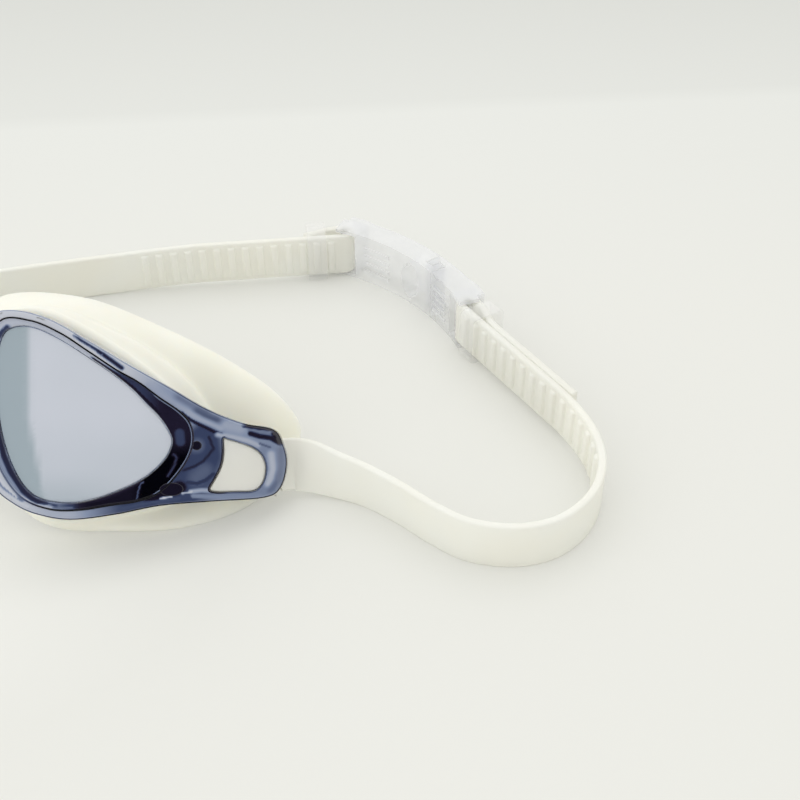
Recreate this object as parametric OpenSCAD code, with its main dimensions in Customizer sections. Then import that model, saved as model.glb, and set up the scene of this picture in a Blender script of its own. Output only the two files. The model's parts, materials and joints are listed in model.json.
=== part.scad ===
// Swimming goggles: two tinted eye frames with lenses, soft gaskets, a nose bridge,
// and a ribbed silicone strap that closes with a two-part clasp at the back of the head.
// Left and right are the wearer's. +X is the wearer's left, -Y the front, +Z up.
// The goggles lie on a table, with the lenses facing forward and up.

/* [Front] */
// Angle by which the lenses lean back from upright
front_tilt = 40; // [30:1:50]
// Distance of the front's origin ahead of the middle of the head space
front_y = 45; // [40:1:50]
// Radius of the curve that the two frames follow round the face
wrap_r = 150; // [130:5:180]

/* [Frame] */
// Depth of the rim round the lens
rim_depth = 4.5; // [3.5:0.1:6]
// Width of the rim ahead of the gasket
rim_w = 3; // [2.4:0.1:3.2]
// Thickness of the temple arm
arm_t = 3; // [2.4:0.1:3.4]

/* [Lens] */
// Distance of the lens face behind the front of the rim
lens_recess = 0.8; // [0.5:0.1:1.2]
// Thickness of the lens
lens_t = 1.8; // [1.2:0.1:2.2]
// Thickness of the side wall of the lens cup
skirt_t = 1.6; // [1.2:0.1:2]
// Depth of the lens cup behind the front of the rim
skirt_depth = 8.5; // [7.5:0.5:9.5]
// Clearance between the lens cup and what holds it
lens_gap = 0.15; // [0.1:0.05:0.2]
// Thickness of the protective film
film_t = 0.2; // [0.15:0.05:0.25]
// Distance from the film's edge to the edge of the lens
film_margin = 0.8; // [0.5:0.1:1.5]

/* [Gasket] */
// Thickness of the soft wall
gasket_t = 1.8; // [1.4:0.1:2.2]
// Width of the lip that stands out round the rim
lip_w = 1.4; // [1:0.1:1.8]
// Depth of the lip's rounded edge
lip_edge = 0.6; // [0.4:0.1:0.8]
// Clearance between soft pieces and what they lie on
seat_gap = 0.3; // [0.2:0.05:0.4]

/* [Nose bridge] */
// Height of the bridge strip
bridge_h = 8; // [6:0.5:9]
// Thickness of the bridge strip
bridge_t = 2.2; // [1.8:0.1:2.6]
// Distance of the peg from the middle of the nose
peg_x = 8.6; // [8.2:0.1:9]
// Height of the peg above the middle of the front
peg_w = 9; // [7:0.5:11]
// Diameter of the peg
peg_d = 3; // [2.4:0.1:3.4]
// Clearance between the peg and its hole, on the diameter
peg_gap = 0.2; // [0.1:0.05:0.3]

/* [Strap] */
// Width of the strap band
band_w = 13; // [11:0.5:14]
// Thickness of the strap band without its ribs
band_t = 2; // [1.6:0.1:2.2]
// Height of a rib
rib_h = 1; // [0.6:0.1:1.1]
// Width of a rib at its top
rib_w = 1.8; // [1.4:0.1:2.2]
// Distance from one rib to the next
rib_pitch = 4.25; // [4:0.05:5]
// Length of the straight stretch next to the clasp
run_length = 44; // [40:1:46]
// Length of the free tail at the wearer's left
left_tail = 47; // [30:1:48]
// Length of the free tail at the wearer's right
right_tail = 12; // [10:1:16]
// Number of ribs on the wearer's left, ahead of the clasp
left_ribs = 16; // [13:1:18]
// Number of ribs on the wearer's right, ahead of the clasp
right_ribs = 14; // [10:1:16]
// Gap between the strap and the end of its long free tail
tail_gap = 0.5; // [0.3:0.1:1]
// Gap between two strap pieces that move apart
strap_gap = 0.3; // [0.2:0.05:0.5]

/* [Clasp] */
// Radius of the curve of the clasp
clasp_r = 68.6; // [66:0.2:72]
// Distance from the curve to the clasp's inner face
inner_t = 3.4; // [3:0.1:4]
// Distance from the curve to the clasp's outer face
outer_t = 4; // [3.6:0.1:4.4]
// Thickness of the top and bottom cheeks
cheek_t = 1.1; // [0.9:0.1:1.4]
// Clearance between a cheek and the strap's edge
cheek_gap = 0.3; // [0.2:0.05:0.5]
// Thickness of the roof over the strap fold
roof_t = 1.2; // [1:0.1:1.6]
// Clearance between the roof and the strap fold
roof_gap = 1.1; // [0.8:0.1:1.4]
// Diameter of the crossbar that the strap is folded round
bar_d = 2.4; // [2:0.1:2.8]
// Length of the clasp window along the clasp
window_w = 9; // [6:0.5:10]
// Height of the clasp window
window_h = 10; // [8:0.5:11]
// Distance from the window to the hooked end's wall
window_edge = 1.2; // [1:0.1:2]
// Thickness of the hook on each half
hook_t = 2.2; // [1.8:0.1:2.4]
// Clearance between the two hooks
hook_gap = 0.35; // [0.3:0.05:0.5]
// Width of a grip ridge
ridge_w = 0.9; // [0.6:0.1:1.2]
// Height of a grip ridge
ridge_h = 0.5; // [0.3:0.1:0.8]
// Distance from one grip ridge to the next
ridge_pitch = 2.6; // [2:0.1:3]

/* [Keepers] */
// Length of a keeper along the strap
keeper_l = 5.7; // [4.5:0.1:6.5]
// Wall of a keeper
keeper_t = 0.9; // [0.8:0.1:1]
// Clearance between a keeper and the strap
keeper_gap = 0.35; // [0.3:0.05:0.45]

/* [Hidden] */

arc_fn = 240;
round_fn = 48;
// Depths between which the pieces of the front are drawn, and those of its cuts
solid_span = [-5, 40];
cut_span = [-10, 50];
half_height = 60;

// Outline of the lens opening, from the temple end over the top to the nose and back
aperture_points = [[52.9, -7], [48.3, 2], [40.5, 8.9], [31, 15.2], [23, 18.6], [17.4, 17.4],
    [15.4, 9], [16.4, -3.5], [20.2, -13.4], [28.5, -20.5], [38.5, -18.8], [48.3, -14.2]];
// Outline of a whole eye frame with its temple arm, the same way round
frame_points = [[78.3, -13.5], [77.4, -8.8], [75, -5.2], [68, -4], [60, -0.8], [51.2, 4.4],
    [42.5, 9.6], [34.5, 14.9], [27, 19.7], [19.6, 21.6], [14, 20], [12.2, 12], [12.8, 0],
    [14.6, -9], [18.8, -17.4], [24.5, -22.8], [31.5, -24.6], [41, -23.3], [50.5, -21.5],
    [62, -20.8], [73.2, -20.9], [76.8, -18.8]];
// Outline of the D-shaped window in the temple arm
window_points = [[73.6, -13.8], [71.4, -9.9], [68.4, -7.6], [65, -6.3], [63.8, -6.8],
    [64.1, -10.2], [63.5, -14.8], [61.9, -17.8], [62.4, -18.9], [66.5, -19.1], [70.9, -18.6],
    [73.1, -16.6]];
// Outline of the strap's flat head behind the arm
head_points = [[80, -7.2], [72, -6.4], [66, -5.6], [62, -6.4], [60.6, -11], [60, -16],
    [60, -20], [66, -21], [72, -20.6], [80, -20.2]];
// Crease of the gasket, with its depth behind the wrap curve
crease_points = [[62, -8, 9], [57.5, 3.2, 9], [49.5, 11.4, 9], [38.5, 18.2, 9], [26.5, 23, 9],
    [14.5, 22, 9], [11.2, 11, 9], [12.4, -4, 9], [17.2, -16, 9], [28.5, -24.4, 8],
    [42, -24.6, 8], [56, -19.6, 8.5]];
// Edge of the gasket's flange, with its distance behind the front's origin
flange_points = [[80.6, -8, 36], [76, 2.6, 33], [63, 12, 28], [46, 20.4, 24], [29.5, 26.3, 22],
    [9.8, 26.3, 21], [6.6, 14, 20], [8.4, -3, 19], [16, -18, 18], [32, -27.2, 19],
    [53, -28.4, 20], [71, -22.4, 27.6]];
// Pieces that an outline is divided into between two of its control points
steps = 5;
lug_root = 14;
// The nose strip runs this far past the pegs, and is this much narrower than a lug on each side
strip_end = 0.5;
strip_inset = 0.4;
// Distances of the peg's end and of the window's plug behind the front of the frame
peg_recess = 0.4;
plug_recess = 0.4;
film_gap = 0.05;

// The clasp follows an arc round this centre, from bar to bar
clasp_centre = [59.8, 1.2];
near_bar = 20.7;
far_bar = 65.2;
// The bar at the wearer's right lies this far inside the arc
far_in = 1.6;
hook_turn = 34.3;
// Clearance between a bar and the strap round it
bar_gap = 0.1;
// Distance from the bar to the end of the clasp, and to the wall ahead of the fold
bar_end = 2.8;
bar_wall = 5.2;
// Width of the cheeks outside the bar
bar_cover = 1.4;
inner_r = clasp_r - inner_t;
middle_r = clasp_r + outer_t;
fold_r = bar_d / 2 + bar_gap + band_t / 2;
stack_r = fold_r + band_t / 2 + rib_h;
roof_r = clasp_r + fold_r + band_t / 2 + roof_gap;
boss_r = clasp_r + bar_d / 2 + bar_cover;
clasp_h = band_w + 2 * (cheek_gap + cheek_t);
band_z = clasp_h / 2;
// Direction in which the hooked half leaves, and the one across it
slide = [cos(hook_turn), sin(hook_turn)];
cut_m = turn(slide);

// Directions of the straight stretches of strap, away from the clasp
near_run = -57.5;
far_run = 187;
near_c = clasp_centre + clasp_r * [cos(near_bar), sin(near_bar)];
far_c = clasp_centre + (clasp_r - far_in) * [cos(far_bar), sin(far_bar)];

function unit(v) = v / norm(v);
function mix(a, b, t) = a + (b - a) * t;
function turn(t) = [-t.y, t.x];
function smooth(a, b, c, d, t) = 0.5 * (2 * b + (c - a) * t + (2 * a - 5 * b + 4 * c - d) * t ^ 2
    + (3 * b - a - 3 * c + d) * t ^ 3);
function loop_of(pts, n = steps) = let (m = len(pts))
    [for (i = [0:m - 1]) for (k = [0:n - 1])
        smooth(pts[(i + m - 1) % m], pts[i], pts[(i + 1) % m], pts[(i + 2) % m], k / n)];
function line_of(pts, n = steps) = let (m = len(pts))
    [for (i = [1:m - 3]) for (k = [0:n - 1])
        smooth(pts[i - 1], pts[i], pts[i + 1], pts[i + 2], k / n)];
// An outline moved outwards by d, or inwards where d is below 0
function grown(pts, d) = let (m = len(pts))
    [for (i = [0:m - 1])
        let (t = unit(pts[(i + 1) % m] - pts[(i + m - 1) % m])) pts[i] - d * turn(t)];
function wrap(u, depth = 0) = wrap_r - sqrt((wrap_r - depth) ^ 2 - u ^ 2);

aperture = loop_of(aperture_points);
frame_outline = loop_of(frame_points);
window_outline = loop_of(window_points);
head_outline = loop_of(head_points);

// Rows of the gasket, each one loop of points as [across, back, up]
function row(pts, depth) = [for (p = pts) [p.x, wrap(p.x, depth), p.y]];
function row_mix(a, b, t) = [for (i = [0:len(a) - 1]) mix(a[i], b[i], t)];
function flat(pts) = [for (p = pts) [p.x, p.z]];
function moved(pts, d, back) = let (g = grown(flat(pts), d))
    [for (i = [0:len(pts) - 1]) [g[i].x, pts[i].y + back, g[i].y]];
seat_depth = rim_depth + seat_gap;
crease = [for (p = loop_of(crease_points)) [p.x, wrap(p.x, p.z), p.y]];
flange = [for (p = loop_of(flange_points)) [p.x, p.z, p.y]];
skirt_row = grown(aperture, lens_gap);
lip_row = grown(aperture, rim_w + lip_w);
// Rows from the crease to the flange's edge, as [way there, millimetres outwards, millimetres back]
outer_rows = [[0, 0.3, -0.9], [0, -0.1, 0.1], [0, 0.5, 0.9], [0.5, 1.2, -0.6], [0.85, 0.9, -0.3],
    [1, 0, 0], [1, -0.9, 0.6]];
// Rows of the inner face, as [way to the flange, thicknesses outwards, thicknesses back]
inner_rows = [[0.75, -0.8, 0.6], [0.3, -1, 0.6], [0, -1.55, 0.55]];
gasket_rows = concat(
    [row(skirt_row, seat_depth), row(grown(aperture, rim_w + lip_w / 2), seat_depth),
    row(lip_row, seat_depth + lip_edge), row(lip_row, seat_depth + lip_edge + 1)],
    [for (r = outer_rows) moved(row_mix(crease, flange, r[0]), r[1], r[2])],
    [for (r = inner_rows) moved(row_mix(crease, flange, r[0]), gasket_t * r[1], gasket_t * r[2])],
    [row(skirt_row, skirt_depth)]);
front_lift = -min([for (r = gasket_rows) for (p = r)
    p.z * cos(front_tilt) - p.y * sin(front_tilt)]);

// A point of the front, given as [across, back, up] along the tilted lens
function front_point(p) = [p.x, p.y * cos(front_tilt) + p.z * sin(front_tilt) - front_y,
    p.z * cos(front_tilt) - p.y * sin(front_tilt) + front_lift];

// Where the strap leaves the anchors
exit_x = 79.2;
exit_w = -13.7;
exit_lean = front_tilt - 4;
head_depth = arm_t + seat_gap;
exit_p = front_point([exit_x, wrap(exit_x, head_depth + band_t / 2), exit_w]);
near_from = near_c - fold_r * [cos(near_run + 90), sin(near_run + 90)];
far_from = far_c + fold_r * [cos(far_run + 90), sin(far_run + 90)];
near_dir = [cos(near_run), sin(near_run)];
far_dir = [cos(far_run), sin(far_run)];

// An outline drawn through the front, between two depths
module wall_of(outline, span = solid_span) {
    rotate([90, 0, 0])
        translate([0, 0, -span[1]])
            linear_extrude(span[1] - span[0])
                polygon(outline);
}

// What lies between two depths behind the wrap curve
module shell(depth, thickness) {
    translate([0, wrap_r, 0])
        difference() {
            cylinder(r = wrap_r - depth, h = 2 * half_height, center = true, $fn = arc_fn);
            cylinder(r = wrap_r - depth - thickness, h = 2 * half_height + 2, center = true,
                $fn = arc_fn);
        }
}

// Places the pieces of the front on the table
module front() {
    translate([-centre_x, -front_y - centre_y, front_lift])
        rotate([-front_tilt, 0, 0])
            children();
}

module mirrored() {
    front()
        mirror([1, 0, 0])
            children();
}

// A peg square to the wrap curve, between two depths behind it
module peg(d, from, to) {
    turn_by = asin(peg_x / wrap_r);
    translate([0, wrap_r, peg_w])
        rotate([0, 0, turn_by])
            rotate([90, 0, 0])
                translate([0, 0, wrap_r - to])
                    cylinder(d = d, h = to - from, $fn = round_fn);
}

// The lug of a frame that holds the nose bridge's peg
module lug() {
    intersection() {
        rotate([90, 0, 0])
            translate([0, 0, -solid_span[1]])
                linear_extrude(solid_span[1] - solid_span[0]) {
                    translate([peg_x, peg_w])
                        circle(r = bridge_h / 2, $fn = round_fn);
                    translate([peg_x, peg_w - bridge_h / 2])
                        square([lug_root - peg_x, bridge_h]);
                }
        shell(0, arm_t);
    }
}

module eye_frame() {
    color([0.3, 0.35, 0.58])
        difference() {
            union() {
                intersection() {
                    wall_of(frame_outline);
                    shell(0, arm_t);
                }
                intersection() {
                    wall_of(grown(aperture, rim_w));
                    shell(0, rim_depth);
                }
                lug();
            }
            wall_of(aperture, cut_span);
            wall_of(window_outline, cut_span);
            peg(peg_d + peg_gap, -1, arm_t + 1);
        }
}

module eye_lens() {
    cup = grown(aperture, -lens_gap);
    color([0.66, 0.7, 0.77])
        difference() {
            intersection() {
                wall_of(cup);
                shell(lens_recess, skirt_depth - lens_recess);
            }
            intersection() {
                wall_of(grown(cup, -skirt_t), cut_span);
                shell(lens_recess + lens_t, skirt_depth);
            }
        }
}

module eye_film() {
    color([0.75, 0.78, 0.83])
        intersection() {
            wall_of(grown(aperture, -film_margin));
            shell(lens_recess - film_gap - film_t, film_t);
        }
}

// A closed surface through rows of points, each row a ring, joined last to first
module ring_of_rows(rows) {
    m = len(rows);
    n = len(rows[0]);
    polyhedron(
        points = [for (r = rows) for (p = r) p],
        faces = [for (j = [0:m - 1]) for (i = [0:n - 1])
            let (a = j * n + i, b = j * n + (i + 1) % n)
            let (c = ((j + 1) % m) * n + (i + 1) % n, d = ((j + 1) % m) * n + i)
            for (f = [[a, b, c], [a, c, d]]) f]);
}

module eye_gasket() {
    color([0.95, 0.95, 0.91])
        ring_of_rows(gasket_rows);
}

module strap_anchor() {
    color([0.93, 0.92, 0.87])
        intersection() {
            union() {
                intersection() {
                    wall_of(head_outline);
                    shell(head_depth, band_t);
                }
                wall_of(grown(window_outline, -seat_gap));
            }
            translate([0, solid_span[0], -half_height])
                cube([exit_x - strap_gap, solid_span[1] - solid_span[0], 2 * half_height]);
            shell(plug_recess, head_depth + band_t - plug_recess);
        }
}

module nose_strip() {
    half = peg_x + peg_d / 2 + strip_end;
    width = bridge_h - 2 * strip_inset;
    depth = arm_t + seat_gap;
    color([0.95, 0.95, 0.91])
        union() {
            intersection() {
                translate([-half, solid_span[0], peg_w - width / 2])
                    cube([2 * half, solid_span[1] - solid_span[0], width]);
                shell(depth, bridge_t);
            }
            peg(peg_d, peg_recess, depth + bridge_t / 2);
            mirror([1, 0, 0])
                peg(peg_d, peg_recess, depth + bridge_t / 2);
        }
}

// Path of the band, as [x, y, rise of its lower edge from the table, lean]
exit_rise = exit_p.z - band_w / 2;
left_points = [[72, -31, 3.1, 40], [exit_x, exit_p.y, exit_rise, exit_lean],
    [84, -33.8, 1.1, 14], [90, -36.2, 0.1, 3], [97, -39.5, 0, 0], [105, -45.3, 0, 0],
    [112.8, -52, 0, 0], [121, -57.2, 0, 0], [131.8, -58.8, 0, 0], [141.8, -55.6, 0, 0],
    [149.4, -47.8, 0.1, 0], [153, -37.5, 0.4, 0], [151.8, -26, 0.9, 0]];
right_points = [[-72, -31, 3.1, 40], [-exit_x, exit_p.y, exit_rise, exit_lean],
    [-85, -32.6, 1.1, 16], [-92.5, -30, 0.1, 4], [-99, -22, 0, 0], [-99.5, -11, 0, 0],
    [-92, 2.5, 0, 0], [-77, 14, 0, 0], [-56, 25.2, 0, 0], [-34, 34.8, 0, 0],
    [-11.2, 42.8, 0.1, 0], [16.6, 49.6, 0.4, 0]];
function raised(pts) = [for (p = pts) [p.x, p.y, p[2] + band_w / 2, p[3]]];

// Pieces that the fold and the tail are divided into
fold_steps = 8;
tail_steps = 8;
// Distance from the bar at which the tail starts to close up, and over which it does
tail_bend = 14;
tail_close = 22;
function on_run(from, dir, d) = concat(from + dir * d, [band_z, 0]);
// The fold round a bar, from the main run to the tail
function fold(c, dir, side) = [for (k = [0:fold_steps])
    let (a = -180 / fold_steps * k * side, n = -side * turn(dir))
    concat(c + fold_r * [n.x * cos(a) - n.y * sin(a), n.x * sin(a) + n.y * cos(a)],
        [band_z, 0])];
// A point of the tail, which closes up to the run past the keeper
function on_tail(from, across, dir, d) = let (t = max(0, min(1, (d - tail_bend) / tail_close)))
    on_run(from + across * mix(2 * fold_r, band_t + tail_gap, t * t * (3 - 2 * t)), dir, d);
// A whole path: the curved stretch, the straight run, the fold and the tail
function whole(points, c, from, dir, side, tail) = concat(
    line_of(concat(points, [on_run(from, dir, run_length), on_run(from, dir, run_length / 2)])),
    [for (k = [0:4]) on_run(from, dir, run_length * (1 - k / 5))],
    fold(c, dir, side),
    [for (k = [1:tail_steps]) on_tail(from, unit(c - from), dir, tail * k / tail_steps)]);
// Distance at which the fold starts
function fold_at(d) = d[len(d) - tail_steps - fold_steps - 1];
function step(a, b) = norm([b.x - a.x, b.y - a.y]);
// Distance of each station along its path
function distances(path) = [for (i = 0, s = 0; i < len(path);
    s = s + (i < len(path) - 1 ? step(path[i], path[i + 1]) : 0), i = i + 1) s];
function column(d, v) = [for (i = [0:len(d) - 1]) [d[i], v[i]]];
// Outward direction at each station
function normals(path, side) = let (m = len(path))
    [for (i = [0:m - 1])
        let (a = path[max(i - 1, 0)], b = path[min(i + 1, m - 1)])
        -side * turn(unit([b.x - a.x, b.y - a.y]))];

left_path = whole(raised(left_points), near_c, near_from, near_dir, 1, left_tail);
right_path = whole(raised(right_points), far_c, far_from, far_dir, -1, right_tail);
// Middle of the whole object's box, from the middle of the nose
centre_x = (max([for (p = left_path) p.x]) + min([for (p = right_path) p.x])) / 2;
centre_y = (min([for (p = left_path) p.y]) - band_t / 2 + clasp_centre.y
    + (roof_r + roof_t) * sin(far_bar)) / 2;
fold_length = PI * fold_r;
left_d = distances(left_path);
right_d = distances(right_path);
left_fold = fold_at(left_d);
right_fold = fold_at(right_d);
// The ribs start this far from the fold
rib_start = 2;
// Ribs on the left that belong to the clasp's side of the strap
left_end_ribs = 12;
left_cut = left_fold - rib_start - left_end_ribs * rib_pitch;
function rib_row(from, way, first, count) = [for (k = [first:first + count - 1])
    from + way * (rib_start + (k + 0.5) * rib_pitch)];
function tail_row(from, tail) = rib_row(from + fold_length, 1, 0,
    floor((tail - rib_start - 1) / rib_pitch));

function sorted(v) = len(v) < 2 ? v : let (p = v[0][0]) concat(
    sorted([for (x = v) if (x[0] < p) x]),
    [for (x = v) if (x[0] == p) x],
    sorted([for (x = v) if (x[0] > p) x]));
function clear_of(s, ribs) = len([for (r = ribs) if (abs(s - r) <= rib_pitch / 2) r]) == 0;
// Stations as [distance, rib height], at the path's own points and at each rib's flanks
function stations(d, from, to, ribs) = sorted(concat(
    [[from, 0], [to, 0]],
    [for (s = d) if (s > from + 0.5 && s < to - 0.5 && clear_of(s, ribs)) [s, 0]],
    [for (r = ribs) for (e = [[-0.3, 0], [0, 1]]) [r - rib_w / 2 + e[0], e[1] * rib_h]],
    [for (r = ribs) for (e = [[0.3, 0], [0, 1]]) [r + rib_w / 2 + e[0], e[1] * rib_h]]));

// One cross-section, as [outwards, up], with a rib of height h on the inner side
function section(h, c = 0.5) = let (t = band_t / 2, w = band_w / 2)
    [[t, c - w], [t, w - c], [t - c, w], [c - t - h, w], [-t - h, w - c], [-t - h, c - w],
    [c - t - h, -w], [t - c, -w]];

// A stretch of band between two distances, with each end cut in the plane that m faces
module band(path, d, side, from, to, ribs, m_from, m_to) {
    n = normals(path, side);
    tables = [for (k = [0:3]) column(d, [for (p = path) p[k]])];
    nx = column(d, [for (v = n) v.x]);
    ny = column(d, [for (v = n) v.y]);
    s = stations(d, from, to, ribs);
    last = len(s) - 1;
    count = len(section(0));
    points = [for (j = [0:last])
        let (c = [for (k = [0:2]) lookup(s[j][0], tables[k])], lean = lookup(s[j][0], tables[3]))
        let (out = unit([lookup(s[j][0], nx), lookup(s[j][0], ny)]), along = turn(out))
        let (m = j == 0 ? m_from : j == last ? m_to : along)
        for (q = section(s[j][1]))
            let (h = q.x * cos(lean) - q.y * sin(lean), v = q.x * sin(lean) + q.y * cos(lean))
            let (back = -h * (out * m) / (along * m))
            [c.x + out.x * h + along.x * back, c.y + out.y * h + along.y * back, c.z + v]];
    sides = [for (j = [0:last - 1]) for (i = [0:count - 1])
        let (a = j * count + i, b = j * count + (i + 1) % count)
        for (f = [[a, b + count, b], [a, a + count, b + count]]) f];
    caps = [for (i = [1:count - 2]) for (f = [[0, i, i + 1],
        [last * count, last * count + i + 1, last * count + i]]) f];
    faces = concat(sides, caps);
    color([0.95, 0.95, 0.91])
        translate([-centre_x, -centre_y, 0])
            polyhedron(points = points,
                faces = side < 0 ? faces : [for (f = faces) [f[0], f[2], f[1]]]);
}

exit_m = [1, 0];

module left_strap() {
    band(left_path, left_d, 1, 0, left_cut - strap_gap / 2,
        rib_row(left_fold, -1, left_end_ribs, left_ribs - left_end_ribs), exit_m, cut_m);
}

module left_strap_end() {
    band(left_path, left_d, 1, left_cut + strap_gap / 2, max(left_d),
        concat(rib_row(left_fold, -1, 0, left_end_ribs), tail_row(left_fold, left_tail)),
        cut_m, near_dir);
}

module right_strap() {
    band(right_path, right_d, -1, 0, max(right_d),
        concat(rib_row(right_fold, -1, 0, right_ribs),
        tail_row(right_fold, right_tail)), exit_m, far_dir);
}

function degrees(d) = d / clasp_r * 180 / PI;

// A curved block of the clasp, between two radii, two angles and two heights
module sector(r1, r2, a1, a2, z1 = 0, z2 = clasp_h) {
    translate([clasp_centre.x, clasp_centre.y, z1])
        rotate([0, 0, a1])
            rotate_extrude(angle = a2 - a1, $fn = arc_fn)
                translate([r1, 0])
                    square([r2 - r1, z2 - z1]);
}

// The bar ends inside the cheeks
module crossbar(c) {
    translate([c.x, c.y, cheek_t / 2])
        cylinder(d = bar_d, h = clasp_h - cheek_t, $fn = round_fn);
}

// The space for the folded strap, between the cheeks and under the roof
module strap_pocket(a1, a2) {
    sector(inner_r - 3, roof_r, a1, a2, cheek_t, clasp_h - cheek_t);
}

module clasp_window() {
    at = hook_turn + degrees(body_from + window_w / 2 + window_edge);
    reach = inner_t + outer_t + 2 * window_past;
    translate([clasp_centre.x, clasp_centre.y, band_z])
        rotate([0, 0, at])
            translate([inner_r - window_past, (window_h - window_w) / 2, 0]) {
                translate([0, 0, -window_h / 2])
                    cube([reach, window_w - window_h / 2, window_h]);
                rotate([0, 90, 0])
                    cylinder(d = window_h, h = reach, $fn = round_fn);
            }
}

// Distance from the first hook to the body of the half with the window
body_from = 2 * (hook_t + hook_gap);
roof_top = roof_r + roof_t;
// Length of the roof past the pocket, and of the plain stretch at each end of a grip
shoulder = 3;
margin = 2;
ridge_rows = [-1.5, -0.5, 0.5, 1.5];
// Where the grip of the half with the window starts, and its length
grip_from = 50;
grip_l = 9.6;
// How far a cut runs past what it cuts, and the window past the faces
past = 1;
window_past = 5;

// Grip ridges on the inner face, between two angles
module grip(a1, a2) {
    for (k = ridge_rows)
        sector(inner_r - ridge_h, inner_r + ridge_h, a1, a2,
            band_z + k * ridge_pitch - ridge_w / 2, band_z + k * ridge_pitch + ridge_w / 2);
}

// A cut through the whole height of the clasp
module cut(r1, r2, a1, a2) {
    sector(r1, r2, a1, a2, -past, clasp_h + past);
}

// The half at the wearer's right, with the window
module clasp_eye() {
    pocket_at = far_bar - degrees(bar_wall);
    end_at = far_bar + degrees(bar_end);
    hook_to = hook_turn + degrees(hook_t);
    color([0.86, 0.88, 0.93])
        translate([-centre_x, -centre_y, 0]) {
            difference() {
                union() {
                    sector(inner_r, roof_top, hook_turn, end_at);
                    grip(grip_from, grip_from + degrees(grip_l));
                }
                cut(middle_r, roof_top + past, hook_turn - past, pocket_at - degrees(shoulder));
                cut(middle_r - hook_t - hook_gap, middle_r + past, hook_turn - past,
                    hook_to + degrees(hook_gap));
                cut(inner_r + hook_t, middle_r + past, hook_to, hook_turn + degrees(body_from));
                cut(boss_r, roof_top + past, far_bar, end_at + past);
                strap_pocket(pocket_at, end_at + past);
                clasp_window();
            }
            crossbar(far_c);
        }
}

// The half at the wearer's left, whose hook holds on to the other half's
module clasp_hook() {
    pocket_at = near_bar + degrees(bar_wall);
    end_at = near_bar - degrees(bar_end);
    hook_from = hook_turn + degrees(hook_t + hook_gap);
    hook_to = hook_from + degrees(hook_t);
    color([0.86, 0.88, 0.93])
        translate([-centre_x, -centre_y, 0]) {
            difference() {
                union() {
                    sector(inner_r, roof_top, end_at, hook_to);
                    grip(pocket_at + degrees(margin), hook_turn - degrees(margin));
                }
                cut(middle_r, roof_top + past, pocket_at + degrees(shoulder), hook_to + past);
                cut(inner_r - past, middle_r - hook_t, hook_turn - degrees(hook_gap), hook_from);
                cut(inner_r - past, inner_r + hook_t + hook_gap, hook_from - degrees(hook_gap),
                    hook_to + past);
                cut(boss_r, roof_top + past, end_at - past, near_bar);
                strap_pocket(end_at - past, pocket_at);
            }
            crossbar(near_c);
        }
}

// A rectangle with rounded corners
function rounded(w, h, r) = [for (k = [0:3]) for (i = [0:4])
    let (a = 90 * k + 22.5 * i)
    [(k == 0 || k == 3 ? 1 : -1) * (w / 2 - r) + r * cos(a),
    (k < 2 ? 1 : -1) * (h / 2 - r) + r * sin(a)]];

// Distance from the bar to the near edge of each keeper
left_keeper_at = 3.6;
right_keeper_at = 5.5;
keeper_round = 1.1;

// A closed loop round the strap's two layers
module keeper(c, run, at) {
    w = 2 * (stack_r + keeper_gap);
    h = band_w + 2 * keeper_gap;
    color([0.88, 0.9, 0.94])
        translate([c.x - centre_x, c.y - centre_y, band_z])
            rotate([0, 0, run])
                translate([at, 0, 0])
                    rotate([90, 0, 90])
                        linear_extrude(keeper_l)
                            difference() {
                                polygon(rounded(w + 2 * keeper_t, h + 2 * keeper_t,
                                    keeper_round + keeper_t));
                                polygon(rounded(w, h, keeper_round));
                            }
}

front() eye_frame();  // left_frame
mirrored() eye_frame();  // right_frame
front() nose_strip();  // nose_bridge
front() eye_lens();  // left_lens
mirrored() eye_lens();  // right_lens
front() eye_film();  // left_film
mirrored() eye_film();  // right_film
front() eye_gasket();  // left_gasket
mirrored() eye_gasket();  // right_gasket
front() strap_anchor();  // left_strap_anchor
mirrored() strap_anchor();  // right_strap_anchor
left_strap();
left_strap_end();
right_strap();
clasp_eye();
clasp_hook();
keeper(near_c, near_run, left_keeper_at);  // left_keeper
keeper(far_c, far_run, right_keeper_at);  // right_keeper
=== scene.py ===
"""Swimming goggles: the looks of each piece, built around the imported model.

Sizes are in millimetres until a point is placed. Left and right are the wearer's.
"""

import json
import logging
import math
from dataclasses import dataclass
from enum import Enum
from typing import Callable, ClassVar, Dict, List, Optional, Sequence, Tuple

import bmesh
import bpy
import numpy as np
from mathutils import Matrix, Vector
from mathutils.geometry import delaunay_2d_cdt

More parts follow.
